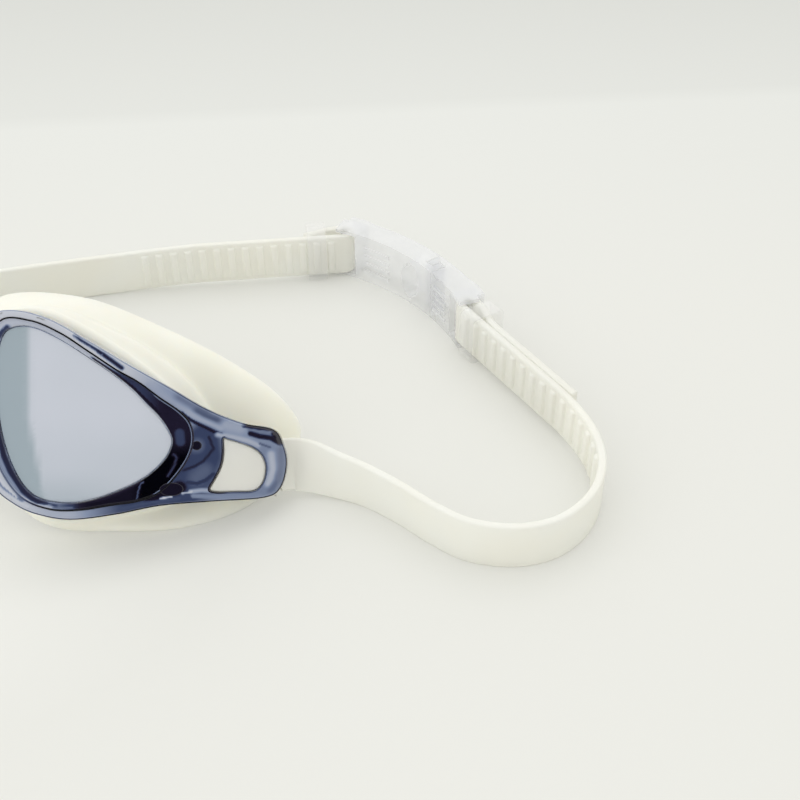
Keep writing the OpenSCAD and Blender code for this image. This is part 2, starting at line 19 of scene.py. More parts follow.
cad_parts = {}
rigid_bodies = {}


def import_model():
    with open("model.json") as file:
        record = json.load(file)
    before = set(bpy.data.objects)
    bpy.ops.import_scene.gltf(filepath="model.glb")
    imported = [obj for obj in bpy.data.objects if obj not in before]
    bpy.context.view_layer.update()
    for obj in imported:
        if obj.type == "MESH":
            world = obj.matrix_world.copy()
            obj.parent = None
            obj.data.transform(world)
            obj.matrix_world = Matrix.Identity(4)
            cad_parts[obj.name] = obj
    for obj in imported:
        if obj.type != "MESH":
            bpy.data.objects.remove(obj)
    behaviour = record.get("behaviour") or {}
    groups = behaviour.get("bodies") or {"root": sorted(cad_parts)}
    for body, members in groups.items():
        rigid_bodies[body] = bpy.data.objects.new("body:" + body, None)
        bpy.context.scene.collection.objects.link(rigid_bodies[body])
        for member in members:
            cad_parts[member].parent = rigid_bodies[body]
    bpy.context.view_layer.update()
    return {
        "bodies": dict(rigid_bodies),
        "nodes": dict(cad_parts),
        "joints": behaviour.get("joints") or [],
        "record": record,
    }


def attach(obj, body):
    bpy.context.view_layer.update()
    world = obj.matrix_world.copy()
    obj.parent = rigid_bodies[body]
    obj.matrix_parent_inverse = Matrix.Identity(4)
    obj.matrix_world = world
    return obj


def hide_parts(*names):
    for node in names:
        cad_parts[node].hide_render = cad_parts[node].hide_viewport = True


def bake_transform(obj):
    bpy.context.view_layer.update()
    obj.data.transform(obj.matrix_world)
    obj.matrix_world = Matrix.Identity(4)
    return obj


LOG = logging.getLogger("goggles")
MM = 0.001
# Vertex layer with the depth of a piece's tint and its painted light
TONE = "tone"
# Places of a mix node's colour sockets
MIX_A, MIX_B, MIX_RESULT = 6, 7, 2
# Where the strap's hinge lies along Y, in the sizes of this file
HINGE_Y = -32.5822

Point = Tuple[float, float]
Colour = Tuple[int, int, int]
Linear = Tuple[float, float, float, float]
Outline = List[Vector]
Tone = Callable[[float, float], float]
Mesh = bmesh.types.BMesh
Edges = List[bmesh.types.BMEdge]
Piece = bpy.types.Object
Material = bpy.types.Material
Socket = bpy.types.NodeSocket


# ---- curves and outlines


def between(a: Vector, b: Vector, c: Vector, d: Vector, t: float) -> Vector:
    """Point of a smooth curve between b and c, a share t of the way."""
    cubic = (3 * b - a - 3 * c + d) * t**3
    return 0.5 * (2 * b + (c - a) * t + (2 * a - 5 * b + 4 * c - d) * t**2 + cubic)


def smooth(points: Sequence[Sequence[float]], steps: int = 8, closed: bool = True) -> Outline:
    """A smooth curve through control points.

    Args:
        points: The control points, in order.
        steps: Pieces between two control points.
        closed: False for a line from the second point to just before the last but one.

    Returns:
        The points of the curve.
    """
    pts = [Vector(p) for p in points]
    m = len(pts)
    return [
        between(pts[i - 1], pts[i], pts[(i + 1) % m], pts[(i + 2) % m], k / steps)
        for i in (range(m) if closed else range(1, m - 2))
        for k in range(steps)
    ]


def grown(outline: Outline, distance: float) -> Outline:
    """Moves an outline outwards.

    Args:
        outline: The outline.
        distance: How far, or below 0 to move it inwards.

    Returns:
        The moved outline.
    """
    m = len(outline)
    ways = [(outline[(i + 1) % m] - outline[i - 1]).normalized() for i in range(m)]
    return [p + distance * Vector((w.y, -w.x)) for p, w in zip(outline, ways)]


def softstep(low: float, high: float, x: float) -> float:
    """0 below low, 1 above high, and a smooth rise between them."""
    t = min(max((x - low) / (high - low), 0.0), 1.0)
    return t * t * (3 - 2 * t)


def inside(points: np.ndarray, outline: Outline) -> np.ndarray:
    """Finds which points lie inside an outline.

    Args:
        points: The points, a row each.
        outline: The outline.

    Returns:
        True or False for each point.
    """
    x, y = points[:, 0], points[:, 1]
    result = np.zeros(len(points), dtype=bool)
    for a, b in zip(outline, outline[1:] + outline[:1]):
        if a.y != b.y:
            crosses = (a.y > y) != (b.y > y)
            result ^= crosses & (x < a.x + (b.x - a.x) * (y - a.y) / (b.y - a.y))
    return result


@dataclass(frozen=True)
class Stroke:
    """A soft painted line, pale for a highlight and dark for a refraction: its path, half its
    width, its tone, how fully it covers and its core.
    """

    path: Tuple[Point, ...]
    reach: float
    tone: float
    cover: float = 1.0
    core: float = 0.45

    def gap(self, x: float, y: float) -> float:
        """Measures how far a place lies from the path.

        Args:
            x: The place's distance across.
            y: Its height.

        Returns:
            The distance.
        """
        best = math.inf
        for (ax, ay), (bx, by) in zip(self.path, self.path[1:] or self.path):
            dx, dy = bx - ax, by - ay
            t = ((x - ax) * dx + (y - ay) * dy) / (dx * dx + dy * dy or 1.0)
            t = min(max(t, 0.0), 1.0)
            best = min(best, math.hypot(x - ax - t * dx, y - ay - t * dy))
        return best

    def over(self, tone: float, x: float, y: float) -> float:
        """A tone at a place, with this line laid over it."""
        edge = softstep(self.core * self.reach, 1.1 * self.reach, self.gap(x, y))
        return tone + self.cover * (1 - edge) * (self.tone - tone)


@dataclass(frozen=True)
class Tint:
    """The tint of a moulding, with painted refractions and reflections: along its top and bottom,
    and its painted highlights and dark lines.

    top and bottom are a first tone and its rises, each as (amount, from, to) across. change
    gives the heights between which the bottom's tone gives way to the top's.
    """

    top: Tuple
    bottom: Tuple
    change: Point
    lines: Tuple[Stroke, ...]

    @staticmethod
    def along(tones: Tuple, across: float) -> float:
        """A first tone with the rises that lie before a distance across."""
        return tones[0] + sum(rise * softstep(low, high, across) for rise, low, high in tones[1:])

    def at(self, across: float, up: float) -> float:
        """Works out how deep the tint is, with its painted light.

        Args:
            across: The place's distance across.
            up: Its height.

        Returns:
            The depth of the tint, 0 to 1.
        """
        top, bottom = self.along(self.top, across), self.along(self.bottom, across)
        tone = top + (1 - softstep(*self.change, up)) * (bottom - top)
        for line in self.lines:
            tone = line.over(tone, across, up)
        return tone


# ---- meshes


def add_ring(bm: Mesh, points: Outline) -> Edges:
    """Adds a closed ring of vertices.

    Args:
        bm: The mesh.
        points: The ring's points, in order.

    Returns:
        The ring's edges, in order.
    """
    verts = [bm.verts.new(p) for p in points]
    return [bm.edges.new((verts[i], verts[(i + 1) % len(verts)])) for i in range(len(verts))]


def extrude_ring(bm: Mesh, edges: Edges, old: Outline, new: Outline) -> Edges:
    """Extrudes a ring of edges and moves the new ring to its points.

    Args:
        bm: The mesh.
        edges: The ring's edges.
        old: The points where the ring is.
        new: The points where the new ring goes.

    Returns:
        The new ring's edges.
    """
    made = bmesh.ops.extrude_edge_only(bm, edges=edges)["geom"]
    place = {tuple(round(c, 5) for c in a): b for a, b in zip(old, new)}
    ends = {v for v in made if isinstance(v, bmesh.types.BMVert)}
    for v in ends:
        v.co = place[tuple(round(c, 5) for c in v.co)]
    return [e for e in made if isinstance(e, bmesh.types.BMEdge) and set(e.verts) <= ends]


def loft(bm: Mesh, rings: List[Outline]) -> Tuple[Edges, Edges]:
    """Joins rings of equal length into one wall.

    Args:
        bm: The mesh.
        rings: The rings, in order.

    Returns:
        The edges of the first ring and of the last.
    """
    rings = [[Vector(round(c, 4) for c in p) for p in ring] for ring in rings]
    first = last = add_ring(bm, rings[0])
    for old, new in zip(rings, rings[1:]):
        last = extrude_ring(bm, last, old, new)
    return first, last


def mark_sharp(bm: Mesh, degrees: float) -> None:
    """Shades a mesh smoothly, except across sharp edges.

    Args:
        bm: The mesh.
        degrees: The angle past which an edge is sharp.
    """
    for f in bm.faces:
        f.smooth = True
    for e in bm.edges:
        e.smooth = len(e.link_faces) != 2 or e.calc_face_angle(0.0) < math.radians(degrees)


def make_piece(
    bm: Mesh, name: str, material: Material, sharp: float = 38.0, weighted: bool = False
) -> Piece:
    """Makes an object of a finished bmesh.

    Args:
        bm: The mesh, in metres in the row frame. It is freed.
        name: The piece's name.
        material: Its material.
        sharp: The angle past which an edge is shaded sharp, in degrees.
        weighted: True where large flat faces meet rounded edges.

    Returns:
        The new object.
    """
    bmesh.ops.remove_doubles(bm, verts=bm.verts, dist=1e-7)
    bmesh.ops.recalc_face_normals(bm, faces=bm.faces)
    mark_sharp(bm, sharp)
    mesh = bpy.data.meshes.new(name)
    bm.to_mesh(mesh)
    bm.free()
    mesh.materials.append(material)
    obj = bpy.data.objects.new(name, mesh)
    bpy.context.scene.collection.objects.link(obj)
    if weighted:
        obj.modifiers.new("Even shading", "WEIGHTED_NORMAL").keep_sharp = True
    LOG.info("%s: %d faces", name, len(mesh.polygons))
    return obj


def cad_mesh(frame: Dict, node: str) -> Mesh:
    """Copies a CAD node's mesh and merges its doubles.

    Args:
        frame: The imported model.
        node: The node.

    Returns:
        The copy.
    """
    bm = bmesh.new()
    bm.from_mesh(frame["nodes"][node].data)
    bmesh.ops.remove_doubles(bm, verts=bm.verts, dist=2e-6)
    return bm


def rounded_copy(
    frame: Dict,
    node: str,
    material: Material,
    radius: float,
    shape: Optional[Callable[[Mesh], None]] = None,
) -> Piece:
    """Makes a piece of a CAD node's shape with its sharp edges rounded.

    Args:
        frame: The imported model.
        node: The CAD node.
        material: The piece's material.
        radius: How far the rounding reaches, in millimetres.
        shape: Changes the copy before it is rounded.

    Returns:
        The new object.
    """
    bm = cad_mesh(frame, node)
    if shape:
        shape(bm)
        bmesh.ops.remove_doubles(bm, verts=bm.verts, dist=2e-5)
    flat, sharp = math.radians(1.2), math.radians(32)
    bmesh.ops.dissolve_limit(bm, angle_limit=flat, verts=bm.verts, edges=bm.edges)
    edges = [e for e in bm.edges if len(e.link_faces) == 2 and e.calc_face_angle(0.0) > sharp]
    bmesh.ops.bevel(
        bm, geom=edges, offset=radius * MM, offset_type="OFFSET", segments=2,
        profile=0.5, affect="EDGES", clamp_overlap=True, material=-1,
    )
    return make_piece(bm, f"{node}_piece", material, weighted=True)


# ---- finishes


def linear(red: int, green: int, blue: int) -> Linear:
    """A colour given as seen on a screen, as Blender's own numbers."""
    parts = [c / 255 for c in (red, green, blue)]
    return (*(c / 12.92 if c <= 0.04045 else ((c + 0.055) / 1.055) ** 2.4 for c in parts), 1.0)


def dimmed(colour: Linear, share: float) -> Linear:
    """A share of a colour's light."""
    return (*(c * share for c in colour[:3]), 1.0)


class Nodes:
    """A node tree, built a node at a time."""

    def __init__(self, owner: bpy.types.ID, output: str = "ShaderNodeOutputMaterial") -> None:
        """Empties a tree and starts it with its output.

        Args:
            owner: The material or world that has the tree.
            output: The type of its output node.
        """
        owner.use_nodes = True
        self.owner, self.tree = owner, owner.node_tree
        self.tree.nodes.clear()
        self.out = self.tree.nodes.new(output)

    def add(self, kind: str, inputs: Optional[Dict] = None, **settings: object) -> bpy.types.Node:
        """Adds a node.

        Args:
            kind: The node's type.
            inputs: Values or links for its inputs, by name or place.
            settings: Its other settings.

        Returns:
            The node.
        """
        node = self.tree.nodes.new(kind)
        for key, value in settings.items():
            setattr(node, key, value)
        for key, value in (inputs or {}).items():
            if isinstance(value, Socket):
                self.tree.links.new(value, node.inputs[key])
            else:
                node.inputs[key].default_value = value
        return node

    def place(self) -> Socket:
        """The object's own coordinates."""
        return self.add("ShaderNodeTexCoord").outputs["Object"]

    def tone(self) -> Socket:
        """The depth of tint, with its painted light, that the piece's vertices carry."""
        return self.add("ShaderNodeAttribute", attribute_name=TONE).outputs["Fac"]

    def noise(self, scale: float, detail: float = 2.0, rough: float = 0.5) -> Socket:
        """Noise of a scale, on the object's own coordinates."""
        inputs = {"Vector": self.place(), "Scale": scale, "Detail": detail, "Roughness": rough}
        return self.add("ShaderNodeTexNoise", inputs).outputs["Fac"]

    def ramp(self, value: Socket, low: float, high: float, a: float, b: float) -> Socket:
        """A value mapped from one range to another."""
        inputs = {"Value": value, "From Min": low, "From Max": high, "To Min": a, "To Max": b}
        return self.add("ShaderNodeMapRange", inputs).outputs["Result"]

    def math(self, operation: str, *values: object) -> Socket:
        """A sum of the given kind."""
        return self.add("ShaderNodeMath", dict(enumerate(values)), operation=operation).outputs[0]

    def mix(self, factor: Socket, a: object, b: object) -> Socket:
        """Two colours or links mixed by a factor."""
        inputs = {"Factor": factor, MIX_A: a, MIX_B: b}
        return self.add("ShaderNodeMix", inputs, data_type="RGBA").outputs[MIX_RESULT]

    def clouded(self, cloud: Socket, a: Linear, b: Linear, spread: float = 0.15) -> Socket:
        """Two colours that drift into each other with a noise."""
        return self.mix(self.ramp(cloud, 0.5 - spread, 0.5 + spread, 0.0, 1.0), a, b)

    def bump(self, height: Socket, distance: float, strength: float) -> Socket:
        """A bumped normal."""
        inputs = {"Height": height, "Distance": distance, "Strength": strength}
        return self.add("ShaderNodeBump", inputs).outputs["Normal"]

    def principled(self, colour: Socket, normal: Socket, **more: object) -> Socket:
        """Adds the main shader.

        Args:
            colour: Its base colour.
            normal: Its normal.
            more: Its other inputs by name, with _ for a space.

        Returns:
            The shader.
        """
        inputs = {"Base Color": colour, "Normal": normal}
        inputs.update({key.replace("_", " "): value for key, value in more.items()})
        return self.add("ShaderNodeBsdfPrincipled", inputs).outputs[0]

    def blend(self, share: object, a: Socket, b: Socket) -> Socket:
        """Two shaders mixed by a share."""
        return self.add("ShaderNodeMixShader", {0: share, 1: a, 2: b}).outputs[0]

    def looked_at(self) -> Socket:
        """Tells apart the rays that show a surface to the camera, mirrored and refracted too.

        Returns:
            1 for such a ray and 0 for the light between surfaces.
        """
        rays = self.add("ShaderNodeLightPath").outputs
        straight = self.math("MAXIMUM", rays["Is Camera Ray"], rays["Is Transmission Ray"])
        return self.math("MAXIMUM", straight, rays["Is Glossy Ray"])

    def finish(self, shader: Socket, volume: Optional[Socket] = None) -> bpy.types.ID:
        """Links the shader to the output.

        Args:
            shader: The shader.
            volume: What fills the piece, if anything does.

        Returns:
            The material or world.
        """
        self.tree.links.new(shader, self.out.inputs["Surface"])
        if volume:
            self.tree.links.new(volume, self.out.inputs["Volume"])
        return self.owner


@dataclass(frozen=True)
class Finish:
    """What every finish has: a name, a roughness, and noise that bends and wears its surface.

    flow is the scale of its slow noise and wear that of its fine noise. dent is how deep the
    surface is uneven, in metres, and ior its refractive index.
    """

    name: str
    roughness: float
    flow: ClassVar[float]
    wear: ClassVar[float]
    dent: ClassVar[float]
    ior: ClassVar[float]

    def make(self) -> Material:
        """A new material with the finish's nodes."""
        return self.dress(Nodes(bpy.data.materials.new(self.name)))

    def worn(self, n: Nodes, spread: float = 0.05) -> Socket:
        """A roughness that rises by up to a spread where the surface is worn."""
        wear = n.noise(self.wear, 3.0, 0.6)
        return n.ramp(wear, 0.35, 0.7, self.roughness, self.roughness + spread)


@dataclass(frozen=True)
class Silicone(Finish):
    """Soft moulded silicone: pale, satin, a little light passing into it or through it."""

    colour: Colour
    shade: Colour
    soft: float = 0.6
    passing: float = 0.0
    light_depth: float = 0.0018
    flow, wear, dent, ior = 55.0, 2600.0, 0.00002, 1.43

    def dress(self, n: Nodes) -> Material:
        """Adds the finish's nodes.

        Args:
            n: The new material's nodes.

        Returns:
            The material.
        """
        grain = n.noise(self.wear, 4.0, 0.6)
        colour = n.clouded(n.noise(self.flow), linear(*self.colour), linear(*self.shade))
        normal = n.bump(grain, self.dent, 0.35)
        rough = n.ramp(grain, 0.3, 0.7, self.roughness - 0.05, self.roughness + 0.06)
        shader = n.principled(
            colour, normal, Roughness=rough, IOR=self.ior, Subsurface_Weight=self.soft,
            Subsurface_Radius=(1.0, 0.92, 0.8), Subsurface_Scale=self.light_depth,
            Sheen_Weight=0.06, Sheen_Roughness=0.5,
        )
        if self.passing:
            through = n.add("ShaderNodeBsdfTranslucent", {"Color": colour, "Normal": normal})
            shader = n.blend(self.passing, shader, through.outputs[0])
        return n.finish(shader)


@dataclass(frozen=True)
class SmokePlastic(Finish):
    """Glossy see-through plastic whose colour runs from pale to nearly black by its tone, which
    paints its refractions, reflections and highlights.
    """

    stops: Tuple[Tuple[float, Colour], ...]
    transmission: float = 0.1
    flow, wear, dent, ior = 120.0, 800.0, 0.00004, 1.49

    def dress(self, n: Nodes) -> Material:
        """Adds the finish's nodes.

        Args:
            n: The new material's nodes.

        Returns:
            The material.
        """
        flow = n.noise(self.flow)
        ramp = n.add("ShaderNodeValToRGB", {"Fac": n.math("MULTIPLY_ADD", flow, 0.05, n.tone())})
        points = ramp.color_ramp.elements
        for index, (place, colour) in enumerate(self.stops):
            stop = points[index] if index < 2 else points.new(place)
            stop.position, stop.color = place, linear(*colour)
        normal = n.bump(flow, self.dent, 0.3)
        return n.finish(n.principled(
            ramp.outputs["Color"], normal, Roughness=self.worn(n), IOR=self.ior,
            Transmission_Weight=self.transmission, Coat_Weight=0.5, Coat_Roughness=0.03,
        ))


@dataclass(frozen=True)
class TintedPlastic(Finish):
    """Clear plastic with a tint that deepens with its thickness."""

    face: Colour
    inside: Colour
    density: float
    flow, wear, dent, ior = 90.0, 700.0, 0.00003, 1.5

    def dress(self, n: Nodes) -> Material:
        """Adds the finish's nodes.

        Args:
            n: The new material's nodes.

        Returns:
            The material.
        """
        flow, face = n.noise(self.flow), linear(*self.face)
        colour = n.clouded(flow, face, dimmed(face, 0.93))
        shader = n.principled(
            colour, n.bump(flow, self.dent, 0.3), Roughness=self.worn(n), IOR=self.ior,
            Transmission_Weight=1.0,
        )
        tint = {"Color": linear(*self.inside), "Density": self.density}
        return n.finish(shader, n.add("ShaderNodeVolumeAbsorption", tint).outputs[0])


@dataclass(frozen=True)
class ClearPlastic(Finish):
    """Milky clear plastic that lets what lies behind show through."""

    colour: Colour
    cover: float
    flow, wear, dent, ior = 140.0, 900.0, 0.00005, 1.49

    def dress(self, n: Nodes) -> Material:
        """Adds the finish's nodes.

        Args:
            n: The new material's nodes.

        Returns:
            The material.
        """
        flow, pale = n.noise(self.flow), linear(*self.colour)
        colour = n.clouded(flow, pale, dimmed(pale, 0.94))
        normal = n.bump(flow, self.dent, 0.4)
        return n.finish(n.principled(
            colour, normal, Roughness=self.worn(n, 0.06), IOR=self.ior,
            Alpha=self.cover, Coat_Weight=1.0, Coat_Roughness=0.04,
        ))


@dataclass(frozen=True)
class HazyFilm(Finish):
    """A thin hazy film with a painted dark reflection and darkening where its tone says so."""

    colour: Colour
    shade: Colour
    dark: Colour
    cover: float
    flow, wear, dent, ior = 38.0, 160.0, 0.00008, 1.45

    def dress(self, n: Nodes) -> Material:
        """Adds the finish's nodes.

        Args:
            n: The new material's nodes.

        Returns:
            The material.
        """
        pale = n.clouded(n.noise(self.flow), linear(*self.colour), linear(*self.shade), 0.2)
        colour = n.mix(n.tone(), pale, linear(*self.dark))
        normal = n.bump(n.noise(self.wear, 1.0), self.dent, 0.25)
        return n.finish(n.principled(
            colour, normal, Roughness=self.roughness, IOR=self.ior, Alpha=self.cover
        ))


class Slot(Enum):
    """The material slots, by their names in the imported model."""

    FRAME = "frame_tint"
    LENS = "lens_tint"
    FILM = "film"
    GASKET = "gasket_silicone"
    STRAP = "strap_silicone"
    BRIDGE = "bridge_silicone"
    CLASP = "clasp_clear"
    KEEPER = "keeper_clear"


FINISHES = {
    Slot.GASKET: Silicone("Gasket silicone", 0.38, (246, 245, 234), (243, 242, 230)),
    Slot.STRAP: Silicone("Strap silicone", 0.45, (254, 254, 249), (254, 253, 246), 0.0, 0.3),
    Slot.BRIDGE: Silicone("Bridge silicone", 0.4, (243, 242, 232), (240, 239, 228)),
    Slot.FRAME: SmokePlastic(
        "Smoke blue plastic",
        0.05,
        # From the pale of painted highlights to the near black of painted dark refractions, by tone
        (
            (0.0, (216, 219, 227)),
            (1.0, (3, 3, 10)),
            (0.3, (146, 159, 187)),
            (0.6, (62, 73, 106)),
            (0.8, (36, 32, 52)),
        ),
    ),
    Slot.LENS: TintedPlastic("Lens", 0.02, (215, 222, 238), (120, 140, 185), 120.0),
    Slot.CLASP: ClearPlastic("Clear clasp", 0.05, (247, 248, 251), 0.33),
    Slot.KEEPER: ClearPlastic("Clear keeper", 0.1, (253, 253, 252), 0.16),
    Slot.FILM: HazyFilm(
        # The colour before the cover is the film's painted dark reflection and darkening
        "Protective film", 0.28, (215, 219, 230), (210, 215, 225), (168, 182, 191), 0.92
    ),
}


def dress(obj: Piece, slot: Slot, body: str, *nodes: str) -> None:
    """Lets a piece ride on a body and hides the CAD nodes that it stands for.

    Args:
        obj: The piece.
        slot: Not used.
        body: The body that it rides on.
        nodes: The CAD nodes that it stands for.
    """
    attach(obj, body)
    if nodes:
        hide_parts(*nodes)


# ---- the front


class Side(Enum):
    """The wearer's left or right, with the sign of its distance across."""

    LEFT = 1
    RIGHT = -1

    @property
    def word(self) -> str:
        """The side as the start of a piece's name."""
        return self.name.lower()


@dataclass
class Front:
    """How the tilted front lies in the row frame."""

    centre: Vector
    tilt: float = math.radians(40)
    ahead: float = 45.0
    lift: float = 35.2722
    wrap_radius: float = 150.0

    def table(self, x: float, y: float, z: float) -> Vector:
        """A point given from the nose over the table, in metres in the row frame."""
        return Vector((x - self.centre.x, y - self.centre.y, z)) * MM

    def wrap(self, across: float, depth: float) -> float:
        """How far back the wrap curve lies at a distance across, at a depth."""
        return self.wrap_radius - math.sqrt((self.wrap_radius - depth) ** 2 - across**2)

    def on_face(self, side: Side, p: Vector) -> Tuple[float, float, float]:
        """Finds where a point of the row frame lies on the tilted face.

        Args:
            side: The wearer's side.
            p: The point, in metres.

        Returns:
            Its distance across, up the face and straight behind it.
        """
        y, z = p.y / MM + self.centre.y + self.ahead, p.z / MM - self.lift
        up = y * math.sin(self.tilt) + z * math.cos(self.tilt)
        back = y * math.cos(self.tilt) - z * math.sin(self.tilt)
        return side.value * (p.x / MM + self.centre.x), up, back

    def place(self, side: Side, across: float, depth: float, up: float) -> Vector:
        """Places a point of the wrapped face.

        Args:
            side: The wearer's side.
            across: Distance from the middle of the nose.
            depth: Depth behind the face.
            up: Height along the tilted face.

        Returns:
            The point in the row frame, in metres.
        """
        back = self.wrap(across, depth)
        y = back * math.cos(self.tilt) + up * math.sin(self.tilt) - self.ahead
        z = up * math.cos(self.tilt) - back * math.sin(self.tilt) + self.lift
        return self.table(side.value * across, y, z)


APERTURE = [
    (52.9, -7), (48.3, 2), (40.5, 8.9), (31, 15.2), (23, 18.6), (17.4, 17.4), (15.4, 9),
    (16.4, -3.5), (20.2, -13.4), (28.5, -20.5), (38.5, -18.8), (48.3, -14.2),
]
FRAME_EDGE = [
    (78, -13.5), (77.2, -8.8), (75, -5), (68.1, -3.4), (60.4, -0.1), (51.7, 5.3), (43.1, 10.4),
    (34.9, 15.5), (27.1, 20), (19.6, 21.9), (14, 20.2), (12.2, 12), (12.2, 0), (13, -9.6),
    (15.6, -17.2), (19.5, -20.9), (24.3, -23.3), (31.5, -24.7), (41, -23.8), (50.5, -22.1),
    (62, -21.5), (73, -21.1), (76.6, -18.9),
]
WINDOW = [
    (73.4, -13.9), (72.5, -11), (70.4, -9.1), (67.6, -7.9), (65.2, -7.1), (63.9, -6.9),
    (63.9, -10.2), (63.4, -13.4), (62, -16.4), (60.9, -18.6), (62.2, -19.4), (66.5, -19.5),
    (70.8, -19.4), (72.8, -17.3),
]
HEAD = [
    (80, -7.2), (72, -6.4), (66, -5.6), (62, -6.4), (60.6, -11), (60, -16), (60, -20), (66, -21),
    (72, -20.6), (80, -20.2),
]
# Seam between the dark bezel round the lens and the frame
SEAM = [
    (57.5, -6.8), (56.7, -3.2), (54.3, -0.4), (50.6, 2.3), (45.9, 6), (41.2, 8.8), (35.3, 12.9),
    (29.4, 16.9), (23, 19.6), (16.7, 19.3), (13.9, 10.4), (14.5, -4), (16.7, -12.8),
    (21.2, -19.4), (27.3, -22.2), (33.6, -22.5), (40, -21.6), (46, -20.8), (50.4, -18.9),
    (54, -15.1), (56.6, -10.8),
]
# Edge of the film, inside the bezel
FILM = [
    (53, -7.8), (52, -4.5), (50, -1.5), (47.5, 1.2), (44.7, 4.3), (41.3, 7.3), (37.2, 10.4),
    (29.4, 15.6), (23.4, 18.3), (19, 18), (16.8, 15.4), (15.7, 8.8), (16.6, -3.5), (19.4, -13.1),
    (23.8, -19.2), (30.6, -21), (37.9, -19.8), (46.1, -16.3), (51, -12.1),
]
# Painted highlights, glints, dark refractions and reflections laid over the frame's tint, as the
# fields of a stroke
FRAME_PAINTED_LINES = tuple(Stroke(*row) for row in (
    (((60, -6.5), (60.5, -11), (59, -15)), 4.6, 0.58),
    (((59.8, -14.4), (58.4, -15.8)), 3.0, 0.5, 1.0, 0.1),
    (((54.5, 2.4), (57.5, 0.6), (60.5, -0.9)), 1.8, 0.42, 1.0, 0.0),
    (((48, 5.2), (52.5, 1.9), (55.8, -0.3)), 1.4, 0.22, 1.0, 0.0),
    (((58.4, -0.7), (60.7, -1.9), (63.4, -2.9)), 1.5, 0.52, 1.0, 0.0),
    (((56.6, -0.9), (59.1, -2.5), (61.2, -3.5), (63.4, -4.6)), 1.1, 0.2, 1.0, 0.1),
    (((54.9, -0.9), (57, -2.6), (59.3, -3.9), (62.1, -5.4), (63.6, -5.8)), 0.45, 0.8),
    (((64.5, -3.8), (67.5, -4.6)), 2.1, 0.2, 1.0, 0.0),
    (((68.5, -4), (71.6, -4.6), (75.2, -5)), 0.6, 0.78),
    (((69.7, -5.2), (74, -6)), 0.6, 0.4),
    (((69.9, -5.9), (72, -6.6), (74.4, -7), (76.6, -8.4)), 0.7, 0.8),
    (((75.4, -6), (76.4, -7.6)), 1.1, 0.84),
    (((62.8, -6), (66.1, -6.7), (69.2, -7.5), (71.6, -8.7)), 0.9, 0.15, 1.0, 0.1),
    (((72, -8.3), (74.2, -9.2)), 0.35, 0.5),
    (((74.5, -10.9), (74.9, -14.5), (73.9, -17.8)), 1.4, 0.12, 1.0, 0.1),
    (((76.7, -9.8), (76.8, -13.5), (76.2, -17.2), (74.4, -19.4)), 1.3, 0.45, 1.0, 0.1),
    (((60.9, -6.5), (61.9, -9.3), (59.8, -12), (57.9, -13.2), (55.4, -14.1)), 0.4, 0.74),
    (((56.3, -16.9), (58.4, -17.2), (60.2, -16.5), (61.9, -15.1)), 0.45, 0.66),
    (((58.3, -8.5),), 2.3, 0.48, 1.0, 0.3),
    (((48.5, -20), (52, -18.9), (54.6, -18)), 1.8, 0.88),
    (((57, -19), (59.3, -18.8), (61, -18.9)), 0.6, 0.2),
    (((57.5, -20), (62.6, -20.5), (67.3, -20.7), (72, -20.6)), 0.6, 0.33),
    (((42, -22.6), (47.6, -21.4), (51, -21), (54.4, -20.5)), 0.6, 0.56),
    # Painted glints on the lower bar
    (((50.6, -20.4), (52.9, -20)), 0.3, 0.0),
    (((55.1, -19.4), (57.2, -19.1)), 0.25, 0.05),
    (((32.6, 16.3), (33.6, 15.5), (35.3, 14.4), (37.6, 12.9)), 0.5, 0.66, 1.0, 0.2),
    (((37.6, 12.9), (39.3, 11.6), (41, 10.3), (42.4, 9.2)), 0.7, 0.76, 1.0, 0.2),
    (((35.6, 14),), 0.3, 0.3, 0.8, 0.0),
    (((38.3, 12.1),), 0.3, 0.35, 0.8, 0.0),
    (((16, -15.6), (18, -17.6), (21.4, -20.1)), 0.5, 0.5, 0.8),
    # Painted glints in the lower corner by the nose
    (((15.4, -13.6), (17.6, -16.9), (20.4, -19.4)), 0.3, 0.0),
    (((15.6, -16.4), (18.4, -19.3), (22.6, -21.6)), 0.3, 0.0, 0.7),
))
# Painted dark refractions and pale highlights laid over the bezel's tint, as the fields of a stroke
BEZEL_PAINTED_LINES = tuple(Stroke(*row) for row in (
    (
        (
            (16, -2), (16.7, -6.6), (17.6, -10.4), (19, -13.8),
            (21.7, -18.1), (24.1, -20.2), (26.3, -21),
        ),
        0.8, 0.72,
    ),
    (((26.3, -21), (28.6, -21.5)), 0.6, 0.62, 0.9, 0.0),
    (((27, -21.9), (29.8, -22.1), (32, -22)), 0.45, 0.4, 0.8, 0.0),
    (
        ((14.6, -6), (15.7, -11), (17.8, -15.6), (20.6, -19), (24, -21.2), (27.5, -21.8)),
        0.45, 0.1, 0.9,
    ),
    (((15.2, 12.5), (16.3, 16), (18.3, 18)), 0.8, 0.62),
    (((54.6, -5.6), (54.8, -7.6)), 1.3, 0.6),
    (((53.3, -10.4), (54, -11.1), (53.5, -12.9), (52.1, -15.3)), 0.4, 0.68),
    (((36, 11.5), (41.4, 7.7), (44.9, 4.7), (47.8, 1.7), (50.4, -1.2)), 0.35, 0.88, 0.9),
    (((36, -20.5), (38, -20.2), (42, -18.6), (46.4, -16.4)), 0.5, 0.78),
    (((45.5, -20.8), (45.8, -18.8), (46.3, -17.1), (46.9, -16.5)), 0.25, 0.5),
))
# The frame's smoke tint with painted refractions and reflections, deeper along the bottom and at
# the temple, with its painted lines
FRAME_TINT_AND_PAINTED_LIGHT = Tint(
    top=(0.01, (0.26, 40, 54)),
    bottom=(0.05, (0.1, 20, 28), (0.43, 30, 44), (-0.22, 57, 64)),
    change=(-12, -4),
    lines=FRAME_PAINTED_LINES,
)
